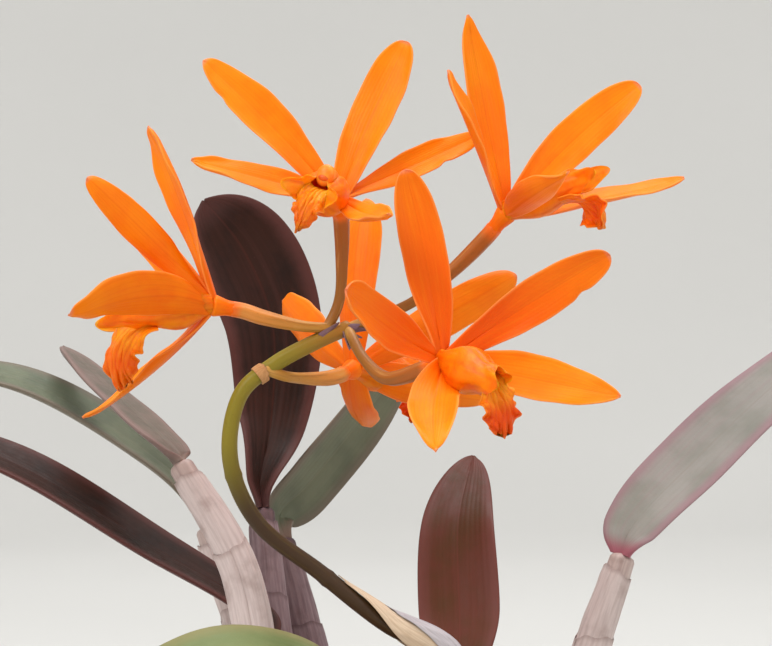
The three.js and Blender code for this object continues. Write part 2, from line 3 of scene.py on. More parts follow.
import bmesh
import bpy
import numpy as np
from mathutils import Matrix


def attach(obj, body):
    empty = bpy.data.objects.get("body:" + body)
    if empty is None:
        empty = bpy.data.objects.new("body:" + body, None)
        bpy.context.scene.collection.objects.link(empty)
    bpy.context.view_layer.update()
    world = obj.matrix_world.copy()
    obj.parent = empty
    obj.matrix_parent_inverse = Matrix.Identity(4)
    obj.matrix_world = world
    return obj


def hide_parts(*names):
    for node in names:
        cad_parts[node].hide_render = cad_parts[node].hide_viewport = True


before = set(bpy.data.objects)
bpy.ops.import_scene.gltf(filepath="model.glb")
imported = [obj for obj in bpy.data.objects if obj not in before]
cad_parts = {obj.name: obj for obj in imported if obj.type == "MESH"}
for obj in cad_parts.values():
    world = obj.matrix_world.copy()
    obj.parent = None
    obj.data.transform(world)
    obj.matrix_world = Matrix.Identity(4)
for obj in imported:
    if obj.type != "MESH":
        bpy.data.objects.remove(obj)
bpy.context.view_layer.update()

# The looks of a potted cattleya: every solid of the frame is replaced by a finer piece of the same form.
# Lengths and places are in millimetres, in the frame's axes, and become metres when a piece is made.
MM = 0.001

# Sizes: the same as those of the solids, or close to them
GAP = 0.3
POT = dict(height=82, rim=50, foot=34, wall=4.5, floor=5, band=17, step=2.2, lip=1.2, edge=0.6)
DRAIN = dict(radius=4, circle=18, count=3)
MIX_TOP, FILL_TOP = 73, 71.5
TEPAL = dict(cup=0.14, bow=2.2, root=1.1, wave=0.35, edge=0.34, middle=0.8)
SEPAL = dict(width=7.2, base=0.38, root_power=1, widest=0.52, tip_power=0.8)
PETAL = dict(width=7.0, base=0.32, root_power=1, widest=0.62, tip_power=0.45)
BLUNT = dict(SEPAL, widest=0.6, tip_power=0.42)
BROAD = dict(SEPAL, widest=0.64, tip_power=0.36)
ACUTE = dict(SEPAL, widest=0.42, tip_power=1.1)
LEAF = dict(base=0.22, root_power=1.5, widest=0.55, tip_power=0.56, stalk=4, cup=0.1, wave=0.25, edge=0.75,
            middle=1.75)
LATE = dict(LEAF, widest=0.72, root_power=2)
STOUT = dict(LEAF, base=0.32, root_power=1.1)
LIP = dict(floor=11.2, reach=3.6, lobe_at=0.6, root=1.5, radius=3.15, pinch=0.6, wrap=2.55, opening=0.1,
           flare=1.25, short=0, half=0.26)
MIDLOBE = dict(bend=1.8, rise=-1.3, blunt=0.45, turned=0.0, half=0.24)
COLUMN = dict(length=9.6, rise=0.3, root=1.2, tip=1.6)
NECK = dict(length=2.2, places=[-2.5, -1.6, -0.6, 0.2, 0.9, 1.3], radii=[1.12, 1.16, 1.42, 1.62, 1.2, 0.7])
CANE = dict(rhizome=2.3, foot=2.0, belly=2.85, top=2.1)
ROOT = dict(radius=0.9, taper=0.25, arch=1.6, dive=5)
STALK = dict(radius=1.15, foot=1.25, stem=0.8, ovary=1.15)
BRACT = dict(length=3.0, lean=0.8, width=2.5)
SHEATH = dict(inner=2.15, taper=0.35)

# How many points lie along a part, and across it where it is a sheet
TEPAL_NET, LEAF_NET, TUBE_NET, LOBE_NET, BRACT_NET = (48, 27), (84, 33), (36, 69), (64, 57), (18, 13)
STALK_ROWS, STEM_ROWS, CANE_ROWS, SHEATH_ROWS, SLEEVE_ROWS, ROOT_ROWS = 190, 70, 150, 64, 26, 34
SLEEVE_COLS = 41
END_ROWS = 3

# Bark chips: each layer's count and size, its height over the mix's top and its distance from the wall
CHIP_LAYERS = [
    dict(count=150, size=(9.5, 6.5, 3.6), height=-0.6, inset=5.5),
    dict(count=260, size=(5.5, 3.8, 2.6), height=0.2, inset=3.2),
    dict(count=150, size=(8.0, 5.2, 3.0), height=1.1, inset=4.6),
]
CHIP_SEED = 11
CLEAR_OF_CANES = 4.4

# Each growth: the course of its rhizome and cane, its leaf's course and width, the way the leaf's upper side
# faces, and where its roots go. fold is how many degrees a leaf is folded up at its foot, and fold_end the
# share of its length from where it lies open. raised is how far the leaf's stalk is set up, and bears is
# where the cane's shoulder ends.
GROWTHS = {
    "1": dict(
        cane=[(-2, 21, 72), (-9.5, 23, 74), (-13, 25, 100), (-17.5, 30, 128), (-19.6, 34, 148)],
        leaf=[(-18.6, 42, 162), (-18.6, 47, 178), (-23.5, 50, 190), (-29.8, 51, 198)],
        width=17, face=(0.2, -1, 0.1), fold=66, fold_end=0.5, form=LATE, look="dark", cane_look="dusky",
        roots=[(-13, 30, 70)],
    ),
    "2": dict(
        cane=[(8, 29, 72), (0, 31, 74), (-5, 34, 100), (-12, 38.5, 125), (-16.5, 42, 142.5)],
        leaf=[(-13, 46, 152), (-2.5, 49, 165), (6, 51, 177)],
        width=12, face=(0.75, -0.65, -0.2), look="grey", cane_look="dusky", roots=[(-7, 35, 71)],
    ),
    "3": dict(
        cane=[(-22, 15, 72), (-21, 24, 74), (-20.5, 30, 100), (-21.5, 36, 124), (-28.5, 41, 144.5)],
        leaf=[(-39, 43, 157), (-60, 43, 168.5), (-82, 40, 171)],
        width=12, face=(0.2, -0.3, 1), look="grey", cane_look="pale", roots=[(-29, 20, 70)],
    ),
    "4": dict(
        cane=[(-7, -2, 72), (-14, 2, 74), (-16.5, 4, 100), (-19, 8, 127), (-22.5, 10.5, 142),
              (-31, 15, 156)],
        leaf=[(-38, 24, 162.5), (-46.5, 38, 169), (-53, 53, 174)],
        width=8.8, face=(0.4, -0.2, 0.9), stalk=1.6, look="blush", cane_look="pale",
        roots=[(-22, -2, 70), (-14, -7, 71)],
    ),
    "5": dict(
        cane=[(4, 12, 72), (-4, 13, 74), (-8, 15, 95), (-13, 18, 113), (-18, 21.5, 128)],
        leaf=[(-36, 22, 143), (-60, 22, 157), (-86, 20, 165)],
        width=12, face=(0.35, -0.35, 0.9), look="dark", cane_look="dusky", roots=[(-11, 12, 70)],
    ),
    "6": dict(
        cane=[(21, 9, 72), (17.5, 1, 74), (17, 4, 92), (14, 9, 108), (12, 12, 120)],
        leaf=[(11.3, 18, 133), (11.3, 28, 147), (14, 41, 156.5)], raised=1.6, bears=(11.1, 9.5, 122.6),
        width=12.5, face=(-0.1, -1, 0.3), look="russet", cane_look="pale", roots=[(9, 1, 71)],
    ),
    "7": dict(
        cane=[(12, 20, 72), (20.5, 19, 74), (25, 19.5, 100), (31, 20.5, 126), (36.4, 22, 141.5)],
        leaf=[(48, 27, 156), (61, 33, 167.5), (80, 40, 182)],
        width=13, face=(-0.55, -0.75, 0.35), fold=30, form=STOUT, look="rimmed", cane_look="pale",
        roots=[(27, 24, 70)],
    ),
    "8": dict(
        cane=[(8, -14, 72), (1, -18, 74), (1, -22, 90), (1, -27, 105), (-1, -31, 118)],
        leaf=[(-7, -38, 130), (-21, -46, 133.5), (-50, -54, 119)],
        width=16, face=(0.1, -0.35, 1), look="green", cane_look="fresh",
        roots=[(-5, -25, 70), (9, -24, 71)],
    ),
    "9": dict(
        cane=[(21, -8, 72), (28, -12, 74), (32, -15, 84), (36, -18, 94), (39, -20.5, 103)],
        leaf=[(44, -24, 114), (53, -29, 123), (66, -34, 127)],
        width=12, face=(-0.5, 0.1, 1), look="green", cane_look="fresh", roots=[(33, -6, 70), (25, -20, 71)],
    ),
}
LEAF_SLOTS = dict(dark="dark_leaf", russet="dark_leaf", grey="grey_leaf", blush="grey_leaf",
                  rimmed="grey_leaf", green="green_leaf")

# Each bloom: where its tepals meet, the way it looks, its lip's way, and the tips measured from its heart.
# The sepals come first, the one at the back before the lower two. turn twists a part by degrees, sway shifts
# its middle, and deep makes it redder; on a tepal that redder orange is painted shade. A nick in a rim is
# (share of the length, side, depth, reach), and it is a flap where its depth is under 0.
BLOOMS = {
    "bloom_left": dict(
        heart=(-24.9, -2, 180.5), faces=(-0.97, -0.16, 0.18), lip=(-0.97, -0.16, -0.12),
        tube=dict(floor=10.4, reach=6.8, lobe_at=0.42),
        midlobe=dict(start=9.0, isthmus=5.6, width=5.8, length=12.4, bend=2.0, twist=58, turned=0.75,
                     deep=0.78),
        sepals=[
            dict(tip=(-9.6, 0, 26.4), turn=16, sway=(-1.3, 0, 0), wide=0.84, form=BLUNT),
            dict(tip=(-19.7, -15, -1.6), sway=(0, 0, 5.6), wide=1.04, form=BROAD,
                 nick=(0.84, 1, -0.5, 0.07)),
            dict(tip=(-20.4, 11, -17), turn=22, wide=0.85),
        ],
        petals=[
            dict(tip=(-17.9, -9, 18.3), turn=-70, sway=(-1.3, 0, -1.1), wide=0.7),
            dict(tip=(-16.8, 13, 17.6), turn=10, sway=(-1.5, 0, -1.3), wide=0.9),
        ],
    ),
    "bloom_top": dict(
        heart=(-7, -5, 195.9), faces=(-0.11, -0.74, 0.67), lip=(-0.28, -0.95, 0.02),
        tube=dict(reach=2.4, opening=0.5, pinch=0.72, flare=2.2),
        column=dict(length=9.2, rise=2.9, tip=1.8),
        midlobe=dict(start=9.4, isthmus=4.2, width=4.6, length=8.6, bend=1.95, rise=0.7, twist=-8,
                     deep=0.75, blunt=1.0),
        sepals=[
            dict(tip=(10.2, 7, 23.5), sway=(-1.4, 0, 0.4), wide=0.98, form=BLUNT),
            dict(tip=(-20.9, -9, 5.1), sway=(0, 0, 1.8), wide=0.74),
            dict(tip=(7.6, -23.5, -3.2), wide=0.66),
        ],
        petals=[
            dict(tip=(-19.7, 0, 20.1), sway=(1.6, 0, 1.6), wide=0.94, nick=(0.8, -1, 0.14, 0.035)),
            dict(tip=(20.8, 9, 9.8), turn=15, sway=(0, 0, 1.6), wide=0.68, nick=(0.7, 1, 0.2, 0.035)),
        ],
    ),
    "bloom_right": dict(
        heart=(17.4, -2, 193.8), faces=(0.6, -0.33, 0.73), lip=(0.86, -0.4, 0.32),
        tube=dict(reach=4.6, radius=2.6),
        midlobe=dict(start=9.4, isthmus=4.6, width=7.0, length=7.6, rise=-1.5, twist=66, deep=0.66,
                     blunt=0.95),
        sepals=[
            dict(tip=(-5.6, 0, 29.3), turn=-35, sway=(1.9, 0, 0), wide=0.88),
            dict(tip=(7.8, -23.2, 4.9), sway=(0, 0, 1.6), wide=0.68, form=ACUTE),
            dict(tip=(27.2, 9, 5.5), turn=-20, sway=(0, 0, 0.8), wide=0.9),
        ],
        petals=[
            dict(tip=(-8.8, -8, 20.4), sway=(2.8, 0, 0), wide=0.8),
            dict(tip=(20.4, 8, 19.5), turn=10, sway=(-1.9, 0, 1.5), wide=0.9, form=BLUNT),
        ],
    ),
    "bloom_front": dict(
        heart=(7.9, -17, 172.5), faces=(0.58, -0.78, 0.25), lip=(0.6, -0.75, -0.28),
        tube=dict(wrap=2.8, opening=0.0, flare=0.5, short=-1),
        midlobe=dict(start=9.4, isthmus=4.0, width=5.8, length=9.4, rise=0.2, twist=-6, deep=1.0),
        # deep=1 on this bloom's back sepal and two petals paints them redder as painted shade
        sepals=[
            dict(tip=(-5.2, 0, 27.2), turn=-38, sway=(2.4, 0, 0), wide=0.9, form=BLUNT, deep=1),
            dict(tip=(-1.2, -24, -11.9), turn=48, form=ACUTE),
            dict(tip=(25.1, -3, -5), sway=(0, 0, 1.1)),
        ],
        petals=[
            dict(tip=(-13.7, -19, 10), deep=1),
            dict(tip=(23.9, 2, 15.2), sway=(0, 0, 0.4), wide=0.93, nick=(0.78, 1, 0.14, 0.035), deep=1),
        ],
    ),
    "bloom_back": dict(
        heart=(-5.2, 14, 170.9), faces=(0.46, 0.86, 0.2), lip=(0.62, 0.77, -0.1),
        midlobe=dict(start=11.6, isthmus=3.4, width=5.4, length=8.0, twist=8, deep=1.0),
        sepals=[
            dict(tip=(1.9, 9, 26.4), form=BLUNT),
            dict(tip=(2, 19, -9.3)),
            dict(tip=(21.7, 13, -4.9)),
        ],
        petals=[dict(tip=(-11.3, 19, 10.8)), dict(tip=(25.2, 4, 14.5), wide=0.9)],
    ),
}

STALK_COURSE = [
    (11.2, 9.6, 121.6), (8.6, 7.4, 128.6), (0.6, 4, 132.9), (-9.7, 2, 141.1), (-19.1, 0, 148.9),
    (-22.9, -1, 158.2), (-21.3, -1, 167.6), (-16.6, 0, 171.8), (-10.2, 1, 175.3), (-5.6, 2, 177.3),
]
FLOWER_STEMS = {
    "bloom_left": [(-6, 2, 177.2), (-12, 0.2, 177.5), (-18, -1.2, 178.8)],
    "bloom_top": [(-9.4, 1, 175.9), (-7, 1.8, 181), (-6.5, 1.4, 188)],
    "bloom_right": [(-5.6, 2, 177.2), (3.8, 1.4, 181), (9.7, 0.4, 185.6)],
    "bloom_front": [(-5.6, 1.6, 177), (-3.1, -4, 172.6), (0.4, -9.5, 170)],
    "bloom_back": [(-17.7, -0.8, 171.2), (-15, 0.8, 170.2), (-12.6, 4, 169.8), (-8.9, 8.4, 169.7)],
}
PALE_STEMS = ("bloom_left", "bloom_back")
COLLARED_STEM = "bloom_back"
STALK_NODES = (0.36, 0.62)
CANE_JOINTS = np.array([0.2, 0.34, 0.5, 0.66, 0.82])

# Numbers and curves

def unit(vectors):
    vectors = np.asarray(vectors, float)
    return vectors / np.maximum(np.linalg.norm(vectors, axis=-1, keepdims=True), 1e-12)


def smooth(x, low, high):
    share = np.clip((np.asarray(x, float) - low) / (high - low), 0, 1)
    return share * share * (3 - 2 * share)


def mixed(a, b, share):
    return a + (b - a) * share


def hill(x, centre, reach):
    """A smooth bump of height 1 round centre."""
    return np.exp(-(((x - centre) / reach) ** 2))


def flattened(vector, way):
    """The part of a vector that is square to way, as a unit vector."""
    vector, way = np.asarray(vector, float), unit(way)
    return unit(vector - way * np.sum(vector * way, axis=-1, keepdims=True))


def net(rows, cols):
    """Even shares along a sheet, from 0 to 1, and across it, from -1 to 1."""
    return np.linspace(0, 1, rows)[:, None], np.linspace(-1, 1, cols)[None, :]


def moved(places, *moves):
    """A row of places spread out into a net: a move is how far each point goes and each row's way."""
    return places[:, None] + sum(far[..., None] * way[:, None] for far, way in moves)


def through(points, shares):
    """Places on the centripetal curve through the points, the same curve that the solids follow."""
    points = np.array(points, float)
    spans = len(points) - 1
    padded = np.vstack([2 * points[0] - points[1], points, 2 * points[-1] - points[-2]])
    spot = np.clip(np.asarray(shares, float) * spans, 0, spans)
    first = np.minimum(spot.astype(int), spans - 1)
    w = (spot - first)[:, None]
    p0, p1, p2, p3 = (padded[first + k] for k in range(4))
    pairs = ((p0, p1), (p1, p2), (p2, p3))
    d0, d1, d2 = (np.linalg.norm(b - a, axis=1, keepdims=True) ** 0.5 for a, b in pairs)
    m1 = ((p1 - p0) / d0 - (p2 - p0) / (d0 + d1) + (p2 - p1) / d1) * d1
    m2 = ((p2 - p1) / d1 - (p3 - p1) / (d1 + d2) + (p3 - p2) / d2) * d1
    return p1 + w * m1 + w**2 * (3 * (p2 - p1) - 2 * m1 - m2) + w**3 * (2 * (p1 - p2) + m1 + m2)


def evenly(points, count, low=0.0, high=1.0):
    """count places on the same curve, equal lengths apart, from share low to share high of its length."""
    fine = through(points, np.linspace(0, 1, 600))
    walked = np.concatenate([[0], np.cumsum(np.linalg.norm(np.diff(fine, axis=0), axis=1))])
    wanted = np.linspace(low, high, count) * walked[-1]
    return np.stack([np.interp(wanted, walked, fine[:, k]) for k in range(3)], axis=1)


def frames_along(course, start):
    """Unit tangents and two unit vectors square to them, carried along without twisting."""
    tangents = unit(np.gradient(course, axis=0))
    normal = np.array(start, float)
    normals = []
    for tangent in tangents:
        normal = unit(normal - tangent * (normal @ tangent))
        normals.append(normal)
    normals = np.array(normals)
    return tangents, normals, np.cross(tangents, normals)


# Meshes

def ring_faces(rows, cols):
    """The four-sided faces between closed rings of points."""
    index = np.arange(rows * cols).reshape(rows, cols)
    beside = np.roll(index, -1, axis=1)
    return np.stack([index[:-1], beside[:-1], beside[1:], index[1:]], axis=-1).reshape(-1, 4).tolist()


def placed(name, data):
    """A new object of the scene."""
    made = bpy.data.objects.new(name, data)
    bpy.context.scene.collection.objects.link(made)
    return made


class Shape:
    """The points and faces of one piece, gathered part by part.

    Each point has a blade value, (along, across, side), and a tone, which the materials read. The side is 1
    on a blade's back or underside and on the outside of a tube, and -1 on the face that it turns up. The
    finish of a part is the place of its material among the piece's looks.
    """

    def __init__(self):
        self.points, self.blade, self.tone, self.faces, self.finish = [], [], [], [], []
        self.count = 0

    def add(self, points, faces, blade, tone=0.0, finish=0):
        self.points.append(points)
        self.blade.append(np.broadcast_to(blade, (len(points), 3)))
        self.tone.append(np.full(len(points), tone))
        self.faces += [[k + self.count for k in face] for face in faces]
        self.finish += [finish] * len(faces)
        self.count += len(points)

    def loft(self, rings, blade=(0, 0, 0), tone=0.0, finish=0):
        """A closed skin over closed rings of points, with both ends capped."""
        rows, cols = rings.shape[:2]
        caps = [list(range(cols))[::-1], list(range((rows - 1) * cols, rows * cols))]
        blade = np.reshape(blade, (-1, 3))
        self.add(rings.reshape(-1, 3), ring_faces(rows, cols) + caps, blade, tone, finish)

    def tube(self, course, radii, sides, tone=0.0, finish=0, ribs=None, start=(0.3, 0.2, 1.0)):
        """A round stem. Its ends are rounded over, and ribs(share, angle) changes its radius."""
        tangents, normals, across = frames_along(course, start)
        bend = np.linspace(0, math.pi / 2, END_ROWS + 1)[1:]
        low = course[0] - np.outer(np.sin(bend) * radii[0] * 0.5, tangents[0])
        high = course[-1] + np.outer(np.sin(bend) * radii[-1] * 0.5, tangents[-1])
        narrow = np.maximum(np.cos(bend), 0.03)
        radii = np.concatenate([(radii[0] * narrow)[::-1], radii, radii[-1] * narrow])
        share = np.pad(np.linspace(0, 1, len(course)), END_ROWS, "edge")
        normals, across = (np.pad(v, ((END_ROWS, END_ROWS), (0, 0)), "edge") for v in (normals, across))
        angle = np.arange(sides) * 2 * math.pi / sides
        radius = np.repeat(radii[:, None], sides, 1)
        if ribs:
            radius = radius * ribs(share[:, None], angle[None, :])
        centres = np.vstack([low[::-1], course, high])
        rings = moved(centres, (radius * np.cos(angle), normals), (radius * np.sin(angle), across))
        blade = np.broadcast_arrays(share[:, None], angle / math.pi - 1, 1.0)
        self.loft(rings, np.stack(blade, -1), tone, finish)

    def sheet(self, grid, half, across, along, tone=0.0, finish=0):
        """A thin closed skin round a grid of points, half thick on either side of it."""
        normals = unit(np.cross(np.gradient(grid, axis=0), np.gradient(grid, axis=1)))
        shift = normals * np.broadcast_to(half, grid.shape[:2])[..., None]
        rings = np.concatenate([grid + shift, (grid - shift)[:, ::-1]], axis=1)
        front = np.stack(np.broadcast_arrays(along, across, 1.0), -1)
        back = (front * (1, 1, -1))[:, ::-1]
        self.loft(rings, np.concatenate([front, back], axis=1), tone, finish)

    def placed(self, name, looks, crease=50):
        """An object in metres, smooth but for the edges sharper than crease degrees."""
        mesh = bpy.data.meshes.new(name)
        mesh.from_pydata((np.vstack(self.points) * MM).tolist(), [], self.faces)
        for look in looks:
            mesh.materials.append(look)
        mesh.polygons.foreach_set("material_index", self.finish)
        blade = mesh.attributes.new("blade", "FLOAT_VECTOR", "POINT")
        blade.data.foreach_set("vector", np.vstack(self.blade).astype(np.float32).ravel())
        tone = mesh.attributes.new("tone", "FLOAT", "POINT")
        tone.data.foreach_set("value", np.concatenate(self.tone).astype(np.float32))
        work = bmesh.new()
        work.from_mesh(mesh)
        bmesh.ops.recalc_face_normals(work, faces=work.faces)
        for face in work.faces:
            face.smooth = True
        for edge in work.edges:
            edge.smooth = len(edge.link_faces) == 2 and edge.calc_face_angle(0) < math.radians(crease)
        work.to_mesh(mesh)
        work.free()
        return placed(name, mesh)

    def made(self, node, looks, slot, crease=50):
        """The finished piece, which replaces its node and rides on the plant's one body."""
        piece = self.placed(node + "_fine", looks, crease)
        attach(piece, "root")
        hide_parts(node)
        return piece


# Materials

# The places of the Mix node's two colours among its inputs, and of its colour among its outputs
MIX_COLOURS, MIX_RESULT = (6, 7), 2


def screen_colour(levels):
    """Red, green and blue from 0 to 255 as they look on a screen, in the shader's own scale."""
    shares = np.array(levels) / 255
    plain = np.where(shares <= 0.04045, shares / 12.92, ((shares + 0.055) / 1.055) ** 2.4)
    return (*plain.tolist(), 1.0)


class Look:
    """A procedural material: one principled shader and the nodes that feed it.

    A colour is a socket, or red, green and blue from 0 to 255 as they look on a screen.
    """

    def __init__(self, name, **settings):
        self.material = bpy.data.materials.new(name)
        self.material.use_nodes = True
        self.tree = self.material.node_tree
        self.shader = self.tree.nodes["Principled BSDF"]
        for socket, value in settings.items():
            self.shader.inputs[socket.replace("_", " ")].default_value = value
        blade = self.made("Attribute", {}, "Vector", attribute_name="blade")
        self.along, self.across, self.side = (self.made("SeparateXYZ", {0: blade}, k) for k in range(3))
        self.rim = self.math("ABSOLUTE", self.across)
        self.tone = self.made("Attribute", {}, "Fac", attribute_name="tone")
        metres = self.made("TexCoord", {}, "Object")
        self.place = self.made("VectorMath", {0: metres, "Scale": 1 / MM}, operation="SCALE")

    def feed(self, socket, value):
        if isinstance(value, bpy.types.NodeSocket):
            self.tree.links.new(value, socket)
        else:
            socket.default_value = value

    def made(self, kind, inputs, output=0, **settings):
        """An output of a new node, which is fed by the inputs' places or names."""
        node = self.tree.nodes.new("ShaderNode" + kind)
        for setting, value in settings.items():
            setattr(node, setting, value)
        for socket, value in inputs.items():
            self.feed(node.inputs[socket], value)
        return node.outputs[output]

    def math(self, operation, a, b=0.0):
        return self.made("Math", {0: a, 1: b}, operation=operation)

    def times(self, a, b):
        return self.math("MULTIPLY", a, b)

    def ranged(self, value, low, high, first, last, kind="LINEAR"):
        """Goes from first to last while value goes from low to high."""
        numbers = {0: value, 1: low, 2: high, 3: first, 4: last}
        return self.made("MapRange", numbers, interpolation_type=kind)

    def band(self, value, low, high, most=1.0):
        """Rises smoothly from 0 at low to most at high."""
        return self.ranged(value, low, high, 0.0, most, "SMOOTHSTEP")

    def blend(self, share, a, b):
        a, b = (screen_colour(tint) if isinstance(tint, tuple) else tint for tint in (a, b))
        inputs = {0: share, MIX_COLOURS[0]: a, MIX_COLOURS[1]: b}
        return self.made("Mix", inputs, MIX_RESULT, data_type="RGBA")

    def layered(self, base, *layers):
        """Colours laid over base one by one. A layer is a share, or what band takes, and then a colour."""
        for *share, tint in layers:
            base = self.blend(share[0] if len(share) == 1 else self.band(*share), base, tint)
        return base

    def paint(self, base, *layers):
        self.feed(self.shader.inputs["Base Color"], self.layered(base, *layers))
        return self.material

    def noise(self, size, detail=3.0, where=None, roughness=0.55):
        """Cloudy values round 0.5, with clouds about size millimetres across."""
        where = self.place if where is None else where
        inputs = {"Vector": where, "Scale": 1 / size, "Detail": detail, "Roughness": roughness}
        return self.made("TexNoise", inputs, "Fac")

    def cells(self, size):
        """The distance from the nearest of many scattered points, size millimetres apart."""
        return self.made("TexVoronoi", {"Vector": self.place, "Scale": 1 / size}, "Distance")

    def stretched(self, scale):
        """The place to look a pattern up at, scaled along each axis."""
        return self.made("Mapping", {"Vector": self.place, "Scale": scale})

    def blade_space(self, lengthways, sideways):
        """A place on a blade, so that a pattern can run along it."""
        scales = ((self.along, lengthways), (self.across, sideways), (self.tone, 10))
        return self.made("CombineXYZ", {k: self.times(*scale) for k, scale in enumerate(scales)})

    def veins(self, count, waver, sharp):
        """Thin lines along a blade, count on either side of its middle."""
        drift = self.times(self.noise(1, 2, self.blade_space(3, 1.5)), waver * 2 * math.pi)
        turn = self.math("ADD", self.times(self.across, count * math.pi), drift)
        return self.math("POWER", self.math("ABSOLUTE", self.math("COSINE", turn)), sharp * 2)

    def bump(self, height, depth):
        """Relief of about depth millimetres, added to what is there already."""
        normal = self.shader.inputs["Normal"]
        inputs = {"Strength": 1.0, "Distance": depth * MM, "Height": height}
        if normal.is_linked:
            inputs["Normal"] = normal.links[0].from_socket
        self.feed(normal, self.made("Bump", inputs, "Normal"))

    def rough(self, value, low, high):
        """Roughness that changes from low to high with value."""
        self.feed(self.shader.inputs["Roughness"], self.ranged(value, 0.25, 0.75, low, high))


def soft(weight, scale):
    """Settings for light that goes a little way into a leaf or petal."""
    return dict(Subsurface_Weight=weight, Subsurface_Radius=(1.0, 0.4, 0.12), Subsurface_Scale=scale * MM)


def petal_look():
    """Waxy orange, deeper on the back and towards the base, with faint veins and a thin pale rim.

    A tone over 1 is a blade painted a redder orange, as painted shade.
    """
    look = Look("petal", **soft(0.09, 0.8), Specular_IOR_Level=0.15)
    patch = look.band(look.noise(7, 3), 0.35, 0.65)
    streak = look.noise(1, 3, look.blade_space(2.0, 4))
    look.bump(look.veins(7, 0.25, 1), 0.012)
    look.bump(look.cells(0.16), 0.008)
    look.rough(streak, 0.42, 0.54)
    return look.paint(
        look.blend(patch, (255, 122, 0), (255, 138, 2)),
        (look.side, -0.3, 0.3, look.blend(patch, (248, 108, 0), (254, 126, 0))),
        # painted shade: tepals with a tone over 1 turn a redder orange
        (look.tone, 0.8, 1.0, 0.75, (236, 80, 0)),
        (look.along, 0.3, 0.95, 0.35, (255, 150, 14)),
        (look.along, 0.3, 0.02, 0.45, (244, 102, 0)),
        (streak, 0.48, 0.8, 0.2, (255, 160, 30)),
        (look.times(look.veins(5, 0.25, 5), 0.12), (232, 84, 0)),
        (look.rim, 0.06, 0.0, 0.22, (228, 80, 0)),
        (look.rim, 0.9, 1.0, 0.35, (255, 176, 96)),
        (look.along, 0.975, 1.0, 0.55, (244, 150, 120)),
    )


def lip_look():
    """The lip is deeper than the tepals, red-orange where its front lobe is crisped."""
    look = Look("lip", **soft(0.4, 1.5), Specular_IOR_Level=0.2)
    cloud = look.noise(2.2, 3)
    patch = look.band(cloud, 0.35, 0.65)
    front = look.band(look.tone, 0.4, 1.0)
    frill = look.times(front, look.band(look.along, 0.25, 0.75))
    look.bump(look.veins(6, 0.3, 1), 0.03)
    look.bump(look.noise(0.45, 4), 0.06)
    look.rough(cloud, 0.36, 0.5)
    return look.paint(
        look.blend(patch, (255, 138, 6), (255, 160, 22)),
        (look.side, -0.3, 0.3, look.blend(patch, (250, 114, 0), (255, 136, 6))),
        (look.times(frill, 0.9), (224, 64, 0)),
        (look.times(look.veins(4, 0.3, 4), 0.3), (206, 50, 0)),
        (look.rim, 0.9, 1.0, 0.4, (255, 150, 50)),
        (look.times(look.band(look.along, 0.93, 1.0, 0.4), front), (250, 120, 30)),
    )


def column_look():
    look = Look("column", **soft(0.15, 0.8), Roughness=0.4, Specular_IOR_Level=0.35)
    look.bump(look.noise(0.4, 3), 0.03)
    return look.paint(
        (255, 132, 14),
        (look.noise(1.5, 2), 0.4, 0.6, (255, 156, 44)),
        (look.tone, 0.3, 0.8, 0.8, (226, 76, 16)),
    )


def stalk_look():
    """tone is 0 on the main stalk, 1 on the flower stems and 2 on the paler ones."""
    look = Look("stalk", **soft(0.08, 0.6), Specular_IOR_Level=0.35)
    streak = look.noise(1, 3, look.blade_space(2.5, 4))
    speck = look.noise(0.35, 3)
    outward = look.band(look.along, 0.2, 0.9)
    stem = look.layered(
        look.blend(outward, (150, 98, 32), (172, 92, 20)),
        (look.tone, 1.0, 2.0, look.blend(outward, (192, 138, 54), (216, 138, 56))),
        (look.along, 0.16, 0.0, 0.7, (222, 172, 92)),
        (streak, 0.5, 0.66, 0.45, (150, 92, 34)),
        (streak, 0.42, 0.28, 0.4, (218, 160, 88)),
        (look.along, 0.9, 1.0, (240, 110, 14)),
    )
    look.bump(streak, 0.04)
    look.bump(speck, 0.015)
    look.rough(speck, 0.4, 0.55)
    # The main stalk goes from brown at its foot to olive higher up: partly its own colour, partly painted
    # shade that darkens it towards its foot, where less light falls
    return look.paint(
        (64, 42, 18),
        (look.along, 0.53, 0.71, (140, 126, 28)),
        (streak, 0.5, 0.75, 0.25, (142, 126, 52)),
        (look.along, 0.86, 1.0, (166, 114, 38)),
        (look.tone, stem),
        (speck, 0.64, 0.74, 0.3, (88, 58, 30)),
    )


def paper_look(name, light, dark, stain):
    """Dry papery skin with fibres along it and browned, torn edges."""
    look = Look(name, Specular_IOR_Level=0.3)
    fibre = look.noise(1, 4, look.blade_space(2.0, 16), 0.6)
    look.bump(fibre, 0.07)
    look.bump(look.noise(0.6, 3), 0.04)
    look.rough(fibre, 0.6, 0.85)
    return look.paint(
        light,
        (fibre, 0.35, 0.68, 0.7, dark),
        (look.noise(5, 4), 0.52, 0.74, 0.5, stain),
        (look.along, 0.93, 1.0, 0.55, stain),
        (look.rim, 0.94, 1.0, 0.3, stain),
    )


def cane_look(name, skin, shade):
    look = Look(name, Specular_IOR_Level=0.3)
    streak = look.noise(1, 4, look.blade_space(5, 6))
    cloud = look.noise(4, 4)
    look.bump(streak, 0.12)
    look.bump(look.noise(0.5, 3), 0.03)
    look.rough(cloud, 0.42, 0.68)
    return look.paint(skin, (streak, 0.35, 0.7, shade), (cloud, 0.52, 0.7, 0.4, (124, 102, 94)))


def root_look():
    """Grey-white velamen with green, growing tips."""
    look = Look("root", Roughness=0.8)
    cloud = look.noise(1.2, 4)
    look.bump(cloud, 0.1)
    green = (look.along, 0.35, 0.0, 0.5, (120, 122, 84))
    return look.paint((196, 190, 176), (cloud, 0.35, 0.65, (154, 146, 128)), green)


